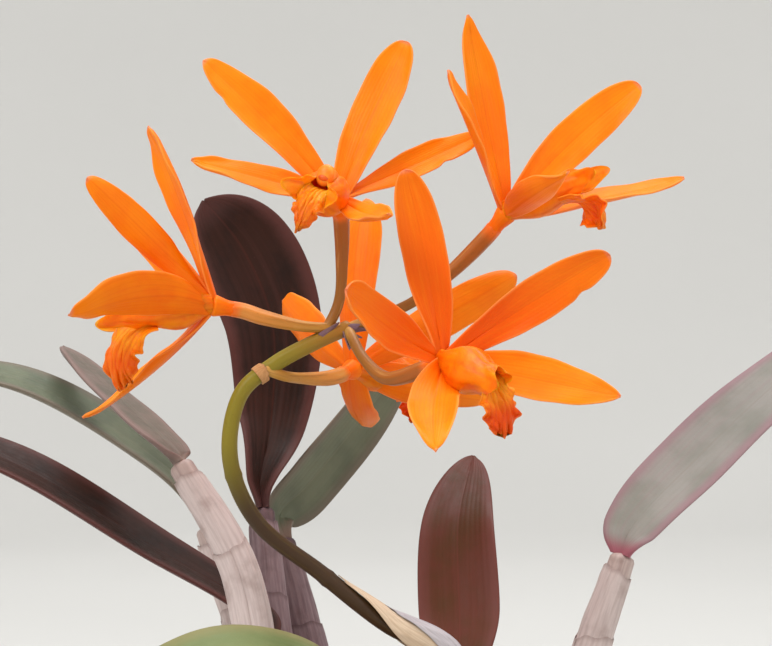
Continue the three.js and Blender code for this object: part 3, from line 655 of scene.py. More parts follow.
def leaf_look(name, face, shade, under, rim, foot):
    """A leathery leaf: face and shade above, under below, rim at its edge and foot at its base."""
    look = Look(name, Specular_IOR_Level=0.15, Coat_Weight=0.03, Coat_Roughness=0.4)
    cloud = look.noise(8, 3)
    mottle = look.noise(1.4, 4)
    stripe = look.noise(1, 3, look.blade_space(1.2, 6))
    edge = look.math("ADD", look.rim, look.times(look.math("SUBTRACT", mottle, 0.5), 0.12))
    look.bump(look.veins(7, 0.2, 0.8), 0.018)
    look.bump(look.noise(0.35, 3), 0.02)
    look.rough(mottle, 0.42, 0.6)
    return look.paint(
        look.layered(face, (cloud, 0.35, 0.68, shade), (stripe, 0.45, 0.75, 0.18, rim)),
        (look.side, -0.2, 0.2, look.layered(under, (cloud, 0.35, 0.68, 0.6, shade))),
        (look.rim, 0.05, 0.0, 0.35, under),
        (look.times(look.veins(6, 0.2, 4), 0.12), shade),
        (edge, 0.62, 1.0, 0.8, rim),
        (look.along, 0.2, 0.03, foot),
        (look.along, 0.88, 1.0, 0.5, rim),
        (look.noise(0.5, 2), 0.68, 0.76, 0.2, rim),
    )


def bark_look():
    """Chips of conifer bark, each in its own brown, layered along the grain."""
    look = Look("bark", Roughness=0.92)
    grain = look.noise(1, 4, look.stretched((0.25, 0.25, 1.6)))
    look.bump(grain, 0.5)
    look.bump(look.noise(0.5, 4), 0.2)
    return look.paint(
        (74, 48, 34),
        (look.tone, 0.0, 1.0, (138, 88, 56)),
        (grain, 0.4, 0.66, 0.75, (58, 38, 28)),
        (look.noise(2.4, 4), 0.56, 0.72, 0.6, (176, 124, 84)),
        (look.noise(0.8, 3), 0.6, 0.75, 0.5, (46, 32, 26)),
    )


def clay_look():
    """Unglazed clay with turning marks, fine grit and a faint pale bloom of lime near its foot and rim."""
    look = Look("clay", Specular_IOR_Level=0.25)
    cloud = look.noise(18, 4)
    grit = look.noise(0.7, 4)
    turned = look.noise(1, 4, look.stretched((0.02, 0.02, 0.9)))
    height = look.made("SeparateXYZ", {0: look.place}, 2)
    level = look.math("ADD", height, look.times(look.noise(14, 4), 40))
    low_patch = look.band(look.noise(5, 5, None, 0.7), 0.42, 0.64)
    high_patch = look.band(look.noise(4, 5, None, 0.7), 0.44, 0.66)
    look.bump(turned, 0.25)
    look.bump(grit, 0.1)
    look.rough(cloud, 0.8, 0.94)
    return look.paint(
        (172, 92, 58),
        (cloud, 0.35, 0.65, (186, 108, 72)),
        (turned, 0.45, 0.7, 0.3, (152, 78, 50)),
        (grit, 0.6, 0.75, 0.3, (206, 142, 108)),
        (look.times(look.band(level, 50, 18, 0.4), low_patch), (206, 176, 154)),
        (look.times(look.band(level, 90, 106, 0.35), high_patch), (208, 180, 158)),
        (look.cells(6), 0.09, 0.04, 0.5, (110, 58, 40)),
    )


def studio_look():
    look = Look("studio_paint", Roughness=0.9, Specular_IOR_Level=0.2)
    return look.paint((206, 205, 202), (look.noise(900, 2), 0.3, 0.7, (210, 209, 206)))


PETAL_LOOK, LIP_LOOK, COLUMN_LOOK = petal_look(), lip_look(), column_look()
STALK_LOOK, ROOT_LOOK, BARK_LOOK, CLAY_LOOK = stalk_look(), root_look(), bark_look(), clay_look()
# Skin and shade of each kind of cane, then light, dark and stain of its papery sleeves
CANE_TINTS = {
    "pale": [(200, 180, 173), (170, 147, 142), (210, 194, 190), (184, 166, 162), (156, 132, 126)],
    "dusky": [(112, 88, 92), (82, 62, 66), (148, 126, 130), (114, 92, 96), (94, 70, 70)],
    "fresh": [(122, 130, 82), (98, 100, 66), (186, 180, 150), (158, 148, 116), (132, 118, 92)],
}
CANE_LOOKS = {
    name: [cane_look("cane_" + name, *tints[:2]), paper_look("paper_" + name, *tints[2:]), ROOT_LOOK]
    for name, tints in CANE_TINTS.items()
}
SHEATH_LOOK = paper_look("spathe", (226, 204, 178), (202, 174, 142), (182, 150, 118))
GREY_PAPER_LOOK = paper_look("spathe_old", (196, 190, 194), (170, 162, 166), (148, 138, 140))
COLLAR_LOOK = paper_look("collar", (202, 152, 100), (176, 124, 76), (146, 100, 70))
BRACT_LOOK = paper_look("bract", (132, 104, 116), (98, 72, 84), (150, 120, 100))
# Face, shade, under, rim and foot of each kind of leaf
LEAF_TINTS = {
    # The dark leaves are their own dark red-brown, darkened further with painted shade
    "dark": [(48, 24, 15), (32, 17, 11), (80, 36, 27), (92, 54, 50), (80, 52, 50)],
    "russet": [(92, 44, 30), (80, 46, 21), (108, 51, 42), (110, 62, 56), (92, 56, 56)],
    "grey": [(114, 120, 98), (98, 105, 86), (126, 124, 102), (122, 110, 98), (132, 112, 100)],
    "blush": [(122, 106, 97), (106, 98, 87), (130, 112, 104), (136, 112, 106), (172, 152, 144)],
    "rimmed": [(156, 152, 146), (140, 140, 131), (148, 138, 130), (158, 122, 130), (166, 100, 112)],
    "green": [(118, 130, 84), (100, 114, 68), (138, 142, 94), (140, 132, 88), (150, 140, 98)],
}
LEAF_LOOKS = {name: leaf_look("leaf_" + name, *tints) for name, tints in LEAF_TINTS.items()}


# Blooms

def blade_width(form, t):
    """The share of its greatest width that a blade has at the share t of its length."""
    quarter = math.pi / 2 * np.clip(t / form["widest"], 0, 1)
    rising = form["base"] + (1 - form["base"]) * np.sin(quarter) ** form["root_power"]
    to_tip = np.clip((t - form["widest"]) / (1 - form["widest"]), 0, 1)
    return np.where(t < form["widest"], rising, (1 - to_tip**2) ** form["tip_power"])


def blade_steps(rows, cols):
    """Shares along a blade, closer together near its tip, and across it, closer together at its rims."""
    along, across = net(rows, cols)
    return 1 - (1 - along) ** 1.5, np.sin(across * math.pi / 2)


def across_blade(tangents, face, twist):
    """The blade's own normal and sideways vectors at each place along it."""
    normals = flattened(np.broadcast_to(unit(face), tangents.shape), tangents)
    normals = normals * np.cos(twist) + np.cross(tangents, normals) * np.sin(twist)
    return normals, np.cross(tangents, normals)


def tepal(shape, bloom, part, form, tone):
    t, s = blade_steps(*TEPAL_NET)
    form = part.get("form", form)
    heart, tip = np.array(bloom["heart"], float), np.array(part["tip"], float)
    way = unit(tip)
    start, end = heart + way * TEPAL["root"], heart + tip
    bow = np.array(part.get("sway", (0, 0, 0)), float) - flattened(bloom["faces"], way) * TEPAL["bow"]
    middle = heart + tip / 2 + bow
    centres = (1 - t) ** 2 * start + 2 * t * (1 - t) * middle + t**2 * end
    tangents = unit((1 - t) * (middle - start) + t * (end - middle))
    twist = math.radians(part.get("turn", 0)) * np.minimum(1, 2.5 * t)
    normals, sideways = across_blade(tangents, bloom["faces"], twist)
    phase = tip[0] + tip[2]
    width = np.maximum(form["width"] * part.get("wide", 1.0) * blade_width(form, t), 0.2)
    width = width * (1 + 0.012 * np.sin(13 * t + phase) + 0.008 * np.sin(31 * t + 2 * phase))
    nick_at, nick_side, nick_depth, nick_reach = part.get("nick", (0.5, 1, 0.0, 1.0))
    width = width * (1 - smooth(nick_side * s, 0, 0.6) * nick_depth * hill(t, nick_at, nick_reach))
    # Cupped and waved, crimped along the rims, with a groove down the middle and a lifted tip
    lift = (
        TEPAL["cup"] * width * s**2
        + TEPAL["wave"] * s**2 * np.sin(9 * t + 2.5 * s + phase)
        + 0.1 * np.abs(s) ** 3 * np.sin(25 * t + 3 * s + phase) * smooth(t, 0.2, 0.6)
        - 0.2 * hill(s, 0, 0.12) * (1 - 0.7 * t)
        + 0.35 * smooth(t, 0.9, 1.0)
    )
    thick = mixed(TEPAL["edge"], TEPAL["middle"], (1 - s**2) * (1 - 0.45 * t))
    half = (0.5 * thick * (1 - np.abs(s) ** 14) ** 0.5 + 0.02) * (1 - 0.65 * smooth(t, 0.96, 1))
    grid = moved(centres, (s * width / 2, sideways), (lift, normals))
    # deep lifts the tone over 1, which paints the tepal redder as painted shade
    shape.sheet(grid, half, s, t, tone=tone + part.get("deep", 0))


class LipFrame:
    """The lip's own frame: along its way, up towards the back sepal, and sideways."""

    def __init__(self, bloom):
        self.heart = np.array(bloom["heart"], float)
        self.along = unit(bloom["lip"])
        self.up = flattened(bloom["sepals"][0]["tip"], self.along)
        self.across = np.cross(self.along, self.up)

    def at(self, forward, side, rise):
        steps = zip(np.broadcast_arrays(forward, side, rise), (self.along, self.across, self.up))
        return self.heart + sum(far[..., None] * way for far, way in steps)


def lip_tube(shape, lip, form, phase):
    """The side lobes roll up round the column. Their front ends reach forward and turn out a little."""
    u, s = net(*TUBE_NET)
    rim = np.abs(s)
    lobe = hill(rim, form["lobe_at"], 0.24) * (1 - 0.75 * smooth(form["short"] * s, 0, 0.3))
    forward = 0.6 + (form["floor"] + form["reach"] * lobe) * u + 0.16 * np.sin(21 * s + phase) * u**6
    swell = smooth(u, 0, 0.45) * (1 - form["pinch"] * smooth(u, 0.5, 0.82))
    turned_out = (form["flare"] * lobe + 0.28 * np.sin(19 * s + phase)) * smooth(u, 0.8, 1)
    radius = mixed(form["root"], form["radius"], swell) + turned_out + 0.16 * s * smooth(rim, 0.8, 1)
    angle = s * (form["wrap"] + 0.4 * smooth(u, 0.1, 0.4) - form["opening"] * smooth(u, 0.5, 1))
    grid = lip.at(forward, radius * np.sin(angle), 0.6 - radius * np.cos(angle))
    half = form["half"] * (1 - 0.75 * smooth(u, 0.85, 1)) * (1 - 0.8 * smooth(rim, 0.88, 1))
    shape.sheet(grid, half, s, u, finish=1)


def lip_midlobe(shape, lip, form, phase):
    """The front lobe leaves the tube's floor, bends down, and is crisped all round its rim."""
    t, s = net(*LOBE_NET)
    arc = form["length"] / form["bend"]
    angle = form["bend"] * t
    opened = smooth(t, 0.12, 0.5)
    over = np.clip((t - 0.5) / 0.5, -1, 1)
    ahead = np.maximum(over, 0)
    rim = (np.abs(s) ** 5 + ahead**5) ** 0.2
    round_it = np.arctan2(s, over - 0.1)
    waves = np.sin(9 * round_it + phase) + 0.55 * np.sin(19 * round_it + 2 * phase)
    crisp = smooth(rim, 0.5, 1.05) * opened
    width = mixed(form["isthmus"], form["width"], opened) * (1 - form["blunt"] * ahead**2)
    width = width * (1 + 0.06 * np.sin(15 * round_it + phase) * crisp)
    keels = 0.2 * (hill(s, 0, 0.06) + hill(np.abs(s), 0.26, 0.06)) * (1 - smooth(t, 0.62, 0.85))
    folds = 0.22 * np.sin(8 * s + 5 * t + phase) * np.sin(13 * t + 3 * s) * opened
    out = 0.62 * crisp * waves + folds + keels + (1 - opened) * 0.9 * s**2 - 0.7 * opened * s**2
    reach = 0.28 * crisp * np.sin(13 * round_it + phase) * ahead
    twist = math.radians(form["twist"]) * mixed(form["turned"], 1, smooth(t, 0.05, 0.75))
    side = s * width / 2 * np.cos(twist) - out * np.sin(twist)
    out = s * width / 2 * np.sin(twist) + out * np.cos(twist)
    forward = form["start"] + arc * np.sin(angle) + out * np.sin(angle) + reach * np.cos(angle)
    rise = form["rise"] - arc * (1 - np.cos(angle)) + out * np.cos(angle) - reach * np.sin(angle)
    half = form["half"] * (1 - 0.65 * smooth(rim, 0.8, 1))
    shape.sheet(lip.at(forward, side, rise), half, s, t, tone=form["deep"], finish=1)


def column(shape, lip, form):
    """A club that arches in the tube, hollow below its tip, with a small cap on the end."""
    share = np.linspace(0, 1, 36)
    course = lip.at(form["length"] * share, 0, form["rise"] * share + 0.8 * np.sin(math.pi * share))
    radii = mixed(form["root"], 0.92 * form["tip"], share) * (1 - 0.14 * hill(share, 0.45, 0.25))

    def ribs(t, angle):
        below = 0.5 - 0.5 * np.cos(angle)
        return 1 - 0.22 * below * smooth(t, 0.2, 0.8) + 0.1 * np.cos(2 * angle) * smooth(t, 0.6, 0.95)

    shape.tube(course, radii, 24, finish=2, ribs=ribs, start=lip.up)
    turn, rise = np.meshgrid(np.linspace(0, 2 * math.pi, 20, endpoint=False), np.linspace(-1.4, 1.4, 12))
    forward = form["length"] + 0.5 + 0.5 * np.cos(rise) * np.cos(turn)
    rings = lip.at(forward, 0.8 * np.cos(rise) * np.sin(turn), form["rise"] - 0.2 + 0.5 * np.sin(rise))
    shape.loft(rings, tone=1.0, finish=2)


def behind_bloom(bloom, distance):
    """The place that far behind the bloom's heart. An array of distances gives a row of places."""
    return np.array(bloom["heart"], float) - np.multiply.outer(distance, unit(bloom["faces"]))


def bloom_piece(name, bloom):
    shape = Shape()
    for kind, form, tone in (("sepals", SEPAL, 0.0), ("petals", PETAL, 0.5)):
        for k, part in enumerate(bloom[kind]):
            tepal(shape, bloom, part, form, tone + 0.1 * k)
    lip = LipFrame(bloom)
    phase = sum(bloom["heart"])
    lip_tube(shape, lip, {**LIP, **bloom.get("tube", {})}, phase)
    lip_midlobe(shape, lip, {**MIDLOBE, **bloom["midlobe"]}, phase)
    column(shape, lip, {**COLUMN, **bloom.get("column", {})})
    reach = np.linspace(NECK["places"][0], NECK["places"][-1], 26)
    shape.tube(behind_bloom(bloom, -reach), np.interp(reach, NECK["places"], NECK["radii"]), 28)
    shape.made(name, [PETAL_LOOK, LIP_LOOK, COLUMN_LOOK], "flower")


# Stalk, flower stems and their scales

def scale_leaf(shape, base, way, out):
    """A small pointed scale that hugs a stem and leans away from it."""
    t, s = net(*BRACT_NET)
    radius = (0.5 * BRACT["width"] * (1 - t**1.6) ** 0.8 + 0.05) / 1.2
    bend = s * mixed(1.5, 0.7, t)
    away = BRACT["lean"] * t**1.4 + 0.75 - radius * (1 - np.cos(bend)) * 0.9
    around = (radius * np.sin(bend))[..., None] * np.cross(way, out)
    grid = np.asarray(base, float) + (BRACT["length"] * t)[..., None] * way + around + away[..., None] * out
    shape.sheet(grid, 0.1, s, t, finish=1)


def collar(shape, at):
    """The low ring of papery skin at a node of the stalk."""
    rows = 14
    node = np.argmin(np.linalg.norm(evenly(STALK_COURSE, STALK_ROWS) - at, axis=1)) / STALK_ROWS
    course = evenly(STALK_COURSE, rows, node - 0.014, node + 0.008)
    radii = np.full(rows, STALK["radius"] + 0.2)
    wrapped(shape, course, radii, (0, -1, 0.4), lambda x: 3.3 - 2.1 * x, 0.35, finish=2, seed=1.3)


def stalk_piece():
    shape = Shape()
    share = np.linspace(0, 1, STALK_ROWS)
    swell = sum(0.1 * hill(share, at, 0.006) for at in STALK_NODES)
    radii = mixed(STALK["foot"], STALK["radius"], share) * (1 + swell + 0.02 * np.sin(23 * share))
    course = evenly(STALK_COURSE, STALK_ROWS)
    shape.tube(course, radii, 24, ribs=lambda t, angle: 1 + 0.02 * np.cos(7 * angle + 5 * t))
    for name, stem in FLOWER_STEMS.items():
        ends = [behind_bloom(BLOOMS[name], NECK["length"] + GAP + more) for more in (1.5, 0)]
        t = np.linspace(0, 1, STEM_ROWS)
        radii = mixed(STALK["stem"], STALK["ovary"], smooth(t, 0.3, 0.9))
        shape.tube(evenly([*stem, *ends], STEM_ROWS), radii, 24, tone=2.0 if name in PALE_STEMS else 1.0,
                   ribs=lambda t, angle: 1 + 0.07 * smooth(t, 0.2, 0.6) * np.cos(6 * angle + 3 * t))
        if name == COLLARED_STEM:
            collar(shape, stem[0])
        else:
            way = unit(np.subtract(stem[1], stem[0]))
            scale_leaf(shape, stem[0], way, flattened((0, -0.4, -1), way))
    ahead = unit(course[-1] - course[-8])
    for spread in ((0.1, -0.9, 0.5), (0.2, 0.6, -0.8)):
        scale_leaf(shape, course[-4], unit(ahead + (0.7, 0, -0.25)), flattened(spread, ahead))
    shape.made("flower_stalk", [STALK_LOOK, BRACT_LOOK, COLLAR_LOOK], "stalk")


def wrapped(shape, course, radii, open_at, cover, ragged, tone=0.0, finish=0, seed=0.0, thick=0.1):
    """A papery sleeve round a course, with a torn mouth that runs in and out by the share ragged.

    cover(t) is the half angle that it covers round the way open_at. Past half a turn its rims overlap.
    """
    t, s = net(len(course), SLEEVE_COLS)
    torn = 1 - ragged * (0.5 - 0.35 * np.cos(2.2 * s) + 0.12 * np.sin(17 * s + 2 * seed) + 0.4 * s**2)
    spot = np.clip(t * torn, 0, 1)
    _, normals, across = frames_along(course, open_at)

    def pick(values):
        return np.stack([np.interp(spot, t[:, 0], numbers) for numbers in values.T], -1)

    angle = s * cover(spot)
    crease = 0.02 * np.sin(15 * angle + seed) + 0.015 * np.sin(7 * angle + 9 * t + seed)
    radius = (np.interp(spot, t[:, 0], radii) + 0.07 * s) * (1 + crease * smooth(t, 0.1, 0.5))
    grid = (
        pick(course)
        + (radius * np.cos(angle))[..., None] * pick(normals)
        + (radius * np.sin(angle))[..., None] * pick(across)
    )
    half = thick * (1 - 0.6 * smooth(t, 0.85, 1)) * (1 - 0.6 * smooth(np.abs(s), 0.9, 1))
    shape.sheet(grid, half, s, t, tone, finish)


def sheath_piece():
    """The spathe: a dry pale sleeve that opens along one side, with an older grey one round its foot."""
    shape = Shape()
    bottom = STALK_COURSE[:4]
    t = np.linspace(0, 1, SHEATH_ROWS)
    radii = SHEATH["inner"] + 0.2 - SHEATH["taper"] * t**2 - 0.6 * smooth(t, 0.7, 1)
    wrapped(shape, evenly(bottom, SHEATH_ROWS, 0.0, 0.93), radii, (0.55, 0.1, 0.8),
            lambda x: mixed(3.1, 0.6, smooth(x, 0.2, 0.97)), 0.06, seed=0.4)
    radii = SHEATH["inner"] + 0.5 + 0.2 * smooth(t, 0.4, 1) - 0.5 * smooth(t, 0.75, 1)
    wrapped(shape, evenly(bottom, SHEATH_ROWS, 0.0, 0.66), radii, (0.75, 0.45, 0.6),
            lambda x: mixed(2.6, 0.6, smooth(x, 0.1, 0.95)), 0.1, finish=1, seed=2.1)
    shape.made("floral_sheath", [SHEATH_LOOK, GREY_PAPER_LOOK], "sheath")


# Pseudobulbs and roots

def cane_radius(t):
    """Narrow at the foot, swollen in the upper half and narrower again at the top."""
    foot = mixed(CANE["rhizome"], CANE["foot"], smooth(t, 0.1, 0.25))
    rise, fall = smooth(t, 0.25, 0.68), smooth(t, 0.72, 1)
    return foot + (CANE["belly"] - CANE["foot"]) * rise - (CANE["belly"] - CANE["top"]) * fall


def root_course(growth, end):
    foot = np.array(growth["cane"][1], float) - (0, 0, 1)
    out = np.array(end, float)
    middle = mixed(foot, out, 0.6) + (0, 0, ROOT["arch"])
    deep = mixed(out, foot, -0.2)
    deep[2] = out[2] - ROOT["dive"]
    return evenly([foot, middle, out, deep], ROOT_ROWS)


def sleeves(shape, growth, joints, seed):
    """A papery sleeve from each joint to just over the next one, and from the last one to the top."""
    climb = np.linspace(0, 1, SLEEVE_ROWS)
    tops = [*(joints[1:] + 0.03), 0.985]
    for k, (low, high) in enumerate(zip(joints, tops)):
        skin = cane_radius(np.linspace(low, high, SLEEVE_ROWS))
        radii = skin + 0.06 + 0.14 * smooth(climb, 0, 0.3) + 0.1 * smooth(climb, 0.7, 1)
        if k + 1 == len(joints):
            radii = radii - 0.12 * smooth(climb, 0.8, 1)
        open_at = (math.cos(seed + 2.4 * k), math.sin(seed + 2.4 * k), 0.2)
        course = evenly(growth["cane"], SLEEVE_ROWS, low, high)
        wrapped(shape, course, radii, open_at, lambda x: 3.3, 0.12, tone=0.1 * k, finish=1, seed=seed + k,
                thick=0.07)


def cane_piece(name, growth):
    shape = Shape()
    share = np.linspace(0, 1, CANE_ROWS)
    seed = float(name) * 1.7
    joints = CANE_JOINTS + 0.015 * np.sin(seed * np.arange(1, 6))
    rings = sum(hill(share, at, 0.006) - 0.6 * hill(share, at + 0.012, 0.006) for at in joints)
    radii = cane_radius(share) * (1 + 0.06 * rings) - 0.15 * smooth(share, 0.95, 1)
    shape.tube(evenly(growth["cane"], CANE_ROWS), radii, 28,
               ribs=lambda t, angle: 1 + 0.03 * np.cos(9 * angle + seed + 2 * t) * smooth(t, 0.25, 0.4))
    sleeves(shape, growth, joints, seed)
    if "bears" in growth:
        top = np.array(growth["cane"][-1], float)
        shoulder = evenly([top - (0, 0, 1.5), top + (0, -0.6, 0.6), np.array(growth["bears"], float)], 16)
        shape.tube(shoulder, np.linspace(2.1, 1.75, 16), 24)
    for end in growth["roots"]:
        radii = ROOT["radius"] - ROOT["taper"] * np.linspace(0, 1, ROOT_ROWS)
        shape.tube(root_course(growth, end), radii, 14, finish=2,
                   ribs=lambda t, angle: 1 + 0.05 * np.sin(3 * angle + 21 * t + seed))
    shape.made("pseudobulb_" + name, CANE_LOOKS[growth["cane_look"]], "cane")


# Leaves

def leaf_piece(name, growth):
    shape = Shape()
    t, s = blade_steps(*LEAF_NET)
    top = np.array(growth["cane"][-1], float)
    way = unit(top - np.array(growth["cane"][-2], float))
    base = top + way * 2 * GAP
    stalk = base + way * growth.get("stalk", LEAF["stalk"]) + (0, 0, growth.get("raised", 0))
    points = [base, stalk, *growth["leaf"]]
    tangents = unit(through(points, t[:, 0] + 1e-4) - through(points, t[:, 0] - 1e-4))
    normals, sideways = across_blade(tangents, growth["face"], 0.0)
    phase = growth["width"]
    width = np.maximum(growth["width"] * blade_width(growth.get("form", LEAF), t), 0.6)
    fold = math.radians(growth.get("fold", 42)) * (1 - smooth(t, 0.0, growth.get("fold_end", 0.3)))
    # Cupped and waved, with a keel down the middle, and folded up from both sides near its foot
    lift = (
        LEAF["cup"] * width * s**2
        + LEAF["wave"] * s**2 * np.sin(9 * t + 2.5 * s + phase)
        + 0.12 * np.abs(s) ** 3 * np.sin(21 * t + phase) * smooth(t, 0.1, 0.4)
        - 0.4 * hill(s, 0, 0.13) * smooth(t, 0.02, 0.2) * (1 - 0.6 * t)
        + (np.sqrt(s**2 + 0.03) - 0.17) * width / 2 * np.sin(fold)
    )
    grid = moved(through(points, t[:, 0]), (s * width / 2 * np.cos(fold), sideways), (lift, normals))
    rounding = (1 - np.abs(s) ** 8) ** 0.5 * (1 - 0.5 * smooth(t, 0.9, 1))
    half = 0.5 * mixed(LEAF["edge"], LEAF["middle"], (1 - np.abs(s)) * (1 - 0.35 * t)) * rounding + 0.04
    shape.sheet(grid, half, s, t, tone=float(name) / 10)
    shape.made("leaf_" + name, [LEAF_LOOKS[growth["look"]]], LEAF_SLOTS[growth["look"]])


# Pot and potting mix

def pot_radius(z):
    return POT["foot"] + (POT["rim"] - POT["step"] - POT["foot"]) * z / POT["height"]


def wall_radius(z):
    return pot_radius(z) - POT["wall"]


def rounded_outline(corners, radius, steps=5):
    """The corners of an outline, each worn to a small arc. The first and last stay on the axis."""
    corners = np.array(corners, float)
    points = [corners[0]]
    for before, corner, after in zip(corners, corners[1:], corners[2:]):
        near = min(radius, np.linalg.norm(before - corner) * 0.45, np.linalg.norm(after - corner) * 0.45)
        start, end = corner + unit(before - corner) * near, corner + unit(after - corner) * near
        for share in np.linspace(0, 1, steps):
            points.append((1 - share) ** 2 * start + 2 * share * (1 - share) * corner + share**2 * end)
    return np.array([*points, corners[-1]])


def turned(outline, sides, wobble=0.0):
    """Rings of points: an outline of (radius, height) turned about the upright axis."""
    angle = np.arange(sides) * 2 * math.pi / sides
    radii, heights = outline[:, :1], outline[:, 1:]
    radii = np.maximum(radii * (1 + wobble * np.sin(3 * angle + 0.05 * heights)), 0.02)
    return np.stack([radii * np.cos(angle), radii * np.sin(angle), np.repeat(heights, sides, 1)], -1)


def pot_piece():
    shape = Shape()
    height, band = POT["height"], POT["height"] - POT["band"]
    outline = rounded_outline([
        (0, 0), (pot_radius(0), 0), (pot_radius(band - POT["step"]), band - POT["step"]),
        (POT["rim"] - POT["edge"], band), (POT["rim"], band + POT["lip"]), (POT["rim"], height),
        (wall_radius(height), height), (wall_radius(POT["floor"]), POT["floor"]), (0, POT["floor"]),
    ], 1.6)
    shape.loft(turned(outline, 160, wobble=0.0012))
    pot = shape.made("pot", [CLAY_LOOK], "clay", crease=40)
    for k in range(DRAIN["count"]):
        angle = math.pi / 6 + 2 * math.pi * k / DRAIN["count"]
        bpy.ops.mesh.primitive_cylinder_add(
            vertices=48, radius=DRAIN["radius"] * MM, depth=4 * POT["floor"] * MM,
            location=(DRAIN["circle"] * MM * math.cos(angle), DRAIN["circle"] * MM * math.sin(angle), 0),
        )
        drill = bpy.context.object
        cut = pot.modifiers.new("drain", "BOOLEAN")
        cut.operation, cut.object, cut.solver = "DIFFERENCE", drill, "EXACT"
        with bpy.context.temp_override(object=pot, active_object=pot):
            bpy.ops.object.modifier_apply(modifier=cut.name)
        bpy.data.objects.remove(drill)


def chip_form(steps=4):
    """The points and faces of a rounded block with corners at 1, to be bent into bark chips."""
    line = np.linspace(-1, 1, steps + 1)
    flat = np.stack(np.meshgrid(line, line, indexing="ij"), -1).reshape(-1, 2)
    sheets = [np.insert(flat, axis, end, axis=1) for axis in range(3) for end in (-1.0, 1.0)]
    points, index = np.unique(np.vstack(sheets), axis=0, return_inverse=True)
    index = index.reshape(len(sheets), steps + 1, steps + 1)
    faces = np.stack([index[:, :-1, :-1], index[:, 1:, :-1], index[:, 1:, 1:], index[:, :-1, 1:]], -1)
    return points * 0.62 + unit(points) * 0.5, faces.reshape(-1, 4).tolist()


def chip(form, size, draws):
    """One chip about its own middle, bent and tilted by draws from 0 to 1."""
    stretch = np.array(size) * (0.65 + 0.7 * draws[:3]) / 2
    body = form * stretch * (1 + 0.16 * np.sin(form[:, [1, 2, 0]] * 3.1 + 6 * draws[3:6]))
    body[:, 2] += 0.12 * stretch[2] * np.sin(7 * form[:, 0] + 6 * draws[6]) * np.abs(form[:, 2])
    body[:, 0] *= 1 - 0.25 * draws[7] * form[:, 1]
    tilts = (0.5 * (draws[8] - 0.5), 0.5 * (draws[9] - 0.5), 2 * math.pi * draws[10])
    for (a, b), tilt in zip(((1, 2), (2, 0), (0, 1)), tilts):
        first = body[:, a] * math.cos(tilt) - body[:, b] * math.sin(tilt)
        second = body[:, a] * math.sin(tilt) + body[:, b] * math.cos(tilt)
        body[:, a], body[:, b] = first, second
    return body


def mix_piece():
    """The fill up to just under the chips, and the layers of bark chips on it."""
    shape = Shape()
    bottom = POT["floor"] + GAP
    walls = [(wall_radius(z) - GAP, z) for z in (bottom, FILL_TOP)]
    shape.loft(turned(np.array([(0, bottom), *walls, (0, FILL_TOP)], float), 96))
    form, faces = chip_form()
    roll = np.random.default_rng(CHIP_SEED)
    golden = math.pi * (3 - math.sqrt(5))
    reach = wall_radius(MIX_TOP) - GAP
    feet = [
        mixed(np.array(growth["cane"][0][:2]), np.array(growth["cane"][1][:2]), share)
        for growth in GROWTHS.values() for share in (0, 0.33, 0.67, 1)
    ]
    for number, layer in enumerate(CHIP_LAYERS):
        for k in range(layer["count"]):
            radius = (reach - layer["inset"]) * math.sqrt((k + 0.5) / layer["count"])
            angle = k * golden + number
            x, y = radius * math.cos(angle), radius * math.sin(angle)
            draws = roll.random(12)
            near = np.linalg.norm(np.array(feet) - (x, y), axis=1).min()
            if number and near < CLEAR_OF_CANES:
                continue
            height = MIX_TOP + layer["height"] + 0.6 * (draws[11] - 0.5)
            body = chip(form, layer["size"], draws) + (x, y, height)
            outside = np.maximum(1, np.linalg.norm(body[:, :2], axis=1) / (reach - 0.2))
            body[:, :2] /= outside[:, None]
            shape.add(body, faces, (0, 0, 1), tone=draws[4])
    shape.made("potting_mix", [BARK_LOOK], "bark", crease=35)


pot_piece()
mix_piece()
for key, grown in GROWTHS.items():
    cane_piece(key, grown)
    leaf_piece(key, grown)
sheath_piece()
stalk_piece()
for key, opened in BLOOMS.items():
    bloom_piece(key, opened)


# Studio, lights and camera

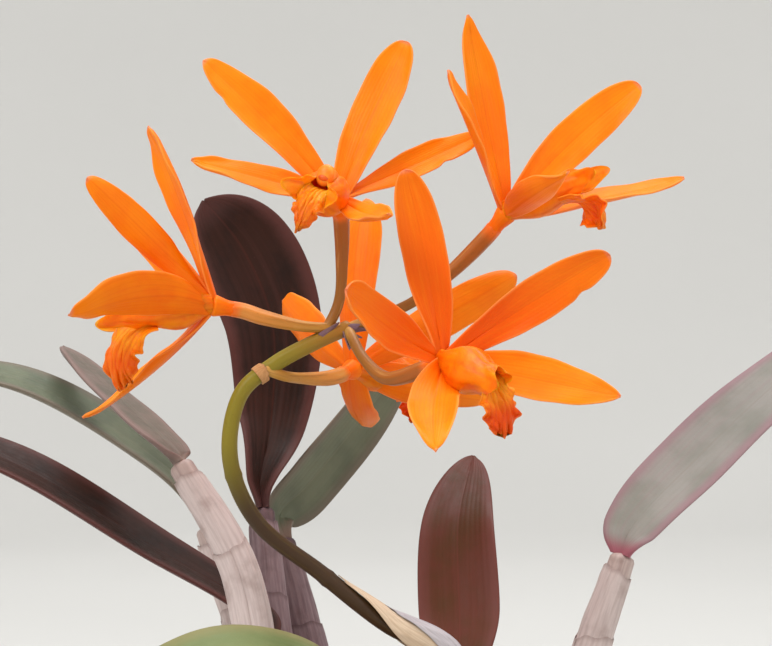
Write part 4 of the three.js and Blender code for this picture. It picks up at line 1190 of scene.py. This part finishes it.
ROOM = dict(floor=2200, bend=1400, top=3400, sides=96)
LAMPS = {
    "key_light": dict(place=(-1550, -1700, 2450), size=1400, power=51),
    "top_light": dict(place=(500, 700, 3100), size=2000, power=60),
    "fill_light": dict(place=(1400, -900, 700), size=1000, power=4),
}
LIT_PLACE = (0, 0, 170)
SKY_STRENGTH = 0.7
CAMERA = dict(place=(0, -450, 178), lens=142.7, sensor=36)


def studio():
    """A pale floor that turns up into a round wall, all in one."""
    sides, bend = ROOM["sides"], np.linspace(0.1, math.pi / 2, 14)
    radii = ROOM["floor"] + ROOM["bend"] * np.array([0, *np.sin(bend), 1])
    heights = [0, *(ROOM["bend"] * (1 - np.cos(bend))), ROOM["top"]]
    rings = turned(np.column_stack([radii, heights]), sides)
    middle = len(radii) * sides
    faces = ring_faces(len(radii), sides) + [[middle, (k + 1) % sides, k] for k in range(sides)]
    shape = Shape()
    shape.add(np.vstack([*rings, (0, 0, 0)]), faces, (0, 0, 0))
    shape.placed("studio_floor", [studio_look()])


def light(name, place, size, power):
    lamp = bpy.data.lights.new(name, "AREA")
    lamp.shape, lamp.size, lamp.energy = "DISK", size * MM, power
    made = placed(name, lamp)
    made.location = np.multiply(place, MM)
    way = unit(np.subtract(LIT_PLACE, place))
    made.rotation_euler = (math.acos(-way[2]), 0, math.atan2(way[1], way[0]) - math.pi / 2)


def camera():
    """Looks level along +Y at the blooms, from where the photo was taken."""
    lens = bpy.data.cameras.new("camera")
    lens.sensor_fit, lens.sensor_width, lens.lens = "HORIZONTAL", CAMERA["sensor"], CAMERA["lens"]
    lens.clip_start, lens.clip_end = 0.01, 50
    made = placed("camera", lens)
    made.location = np.multiply(CAMERA["place"], MM)
    made.rotation_euler = (math.pi / 2, 0, 0)
    bpy.context.scene.camera = made


def sky():
    world = bpy.data.worlds.new("world")
    world.use_nodes = True
    background = world.node_tree.nodes["Background"]
    background.inputs["Color"].default_value = (1.0, 1.0, 1.0, 1.0)
    background.inputs["Strength"].default_value = SKY_STRENGTH
    bpy.context.scene.world = world


studio()
for key, lamp in LAMPS.items():
    light(key, **lamp)
camera()
sky()
bpy.context.scene.view_settings.view_transform = "Standard"
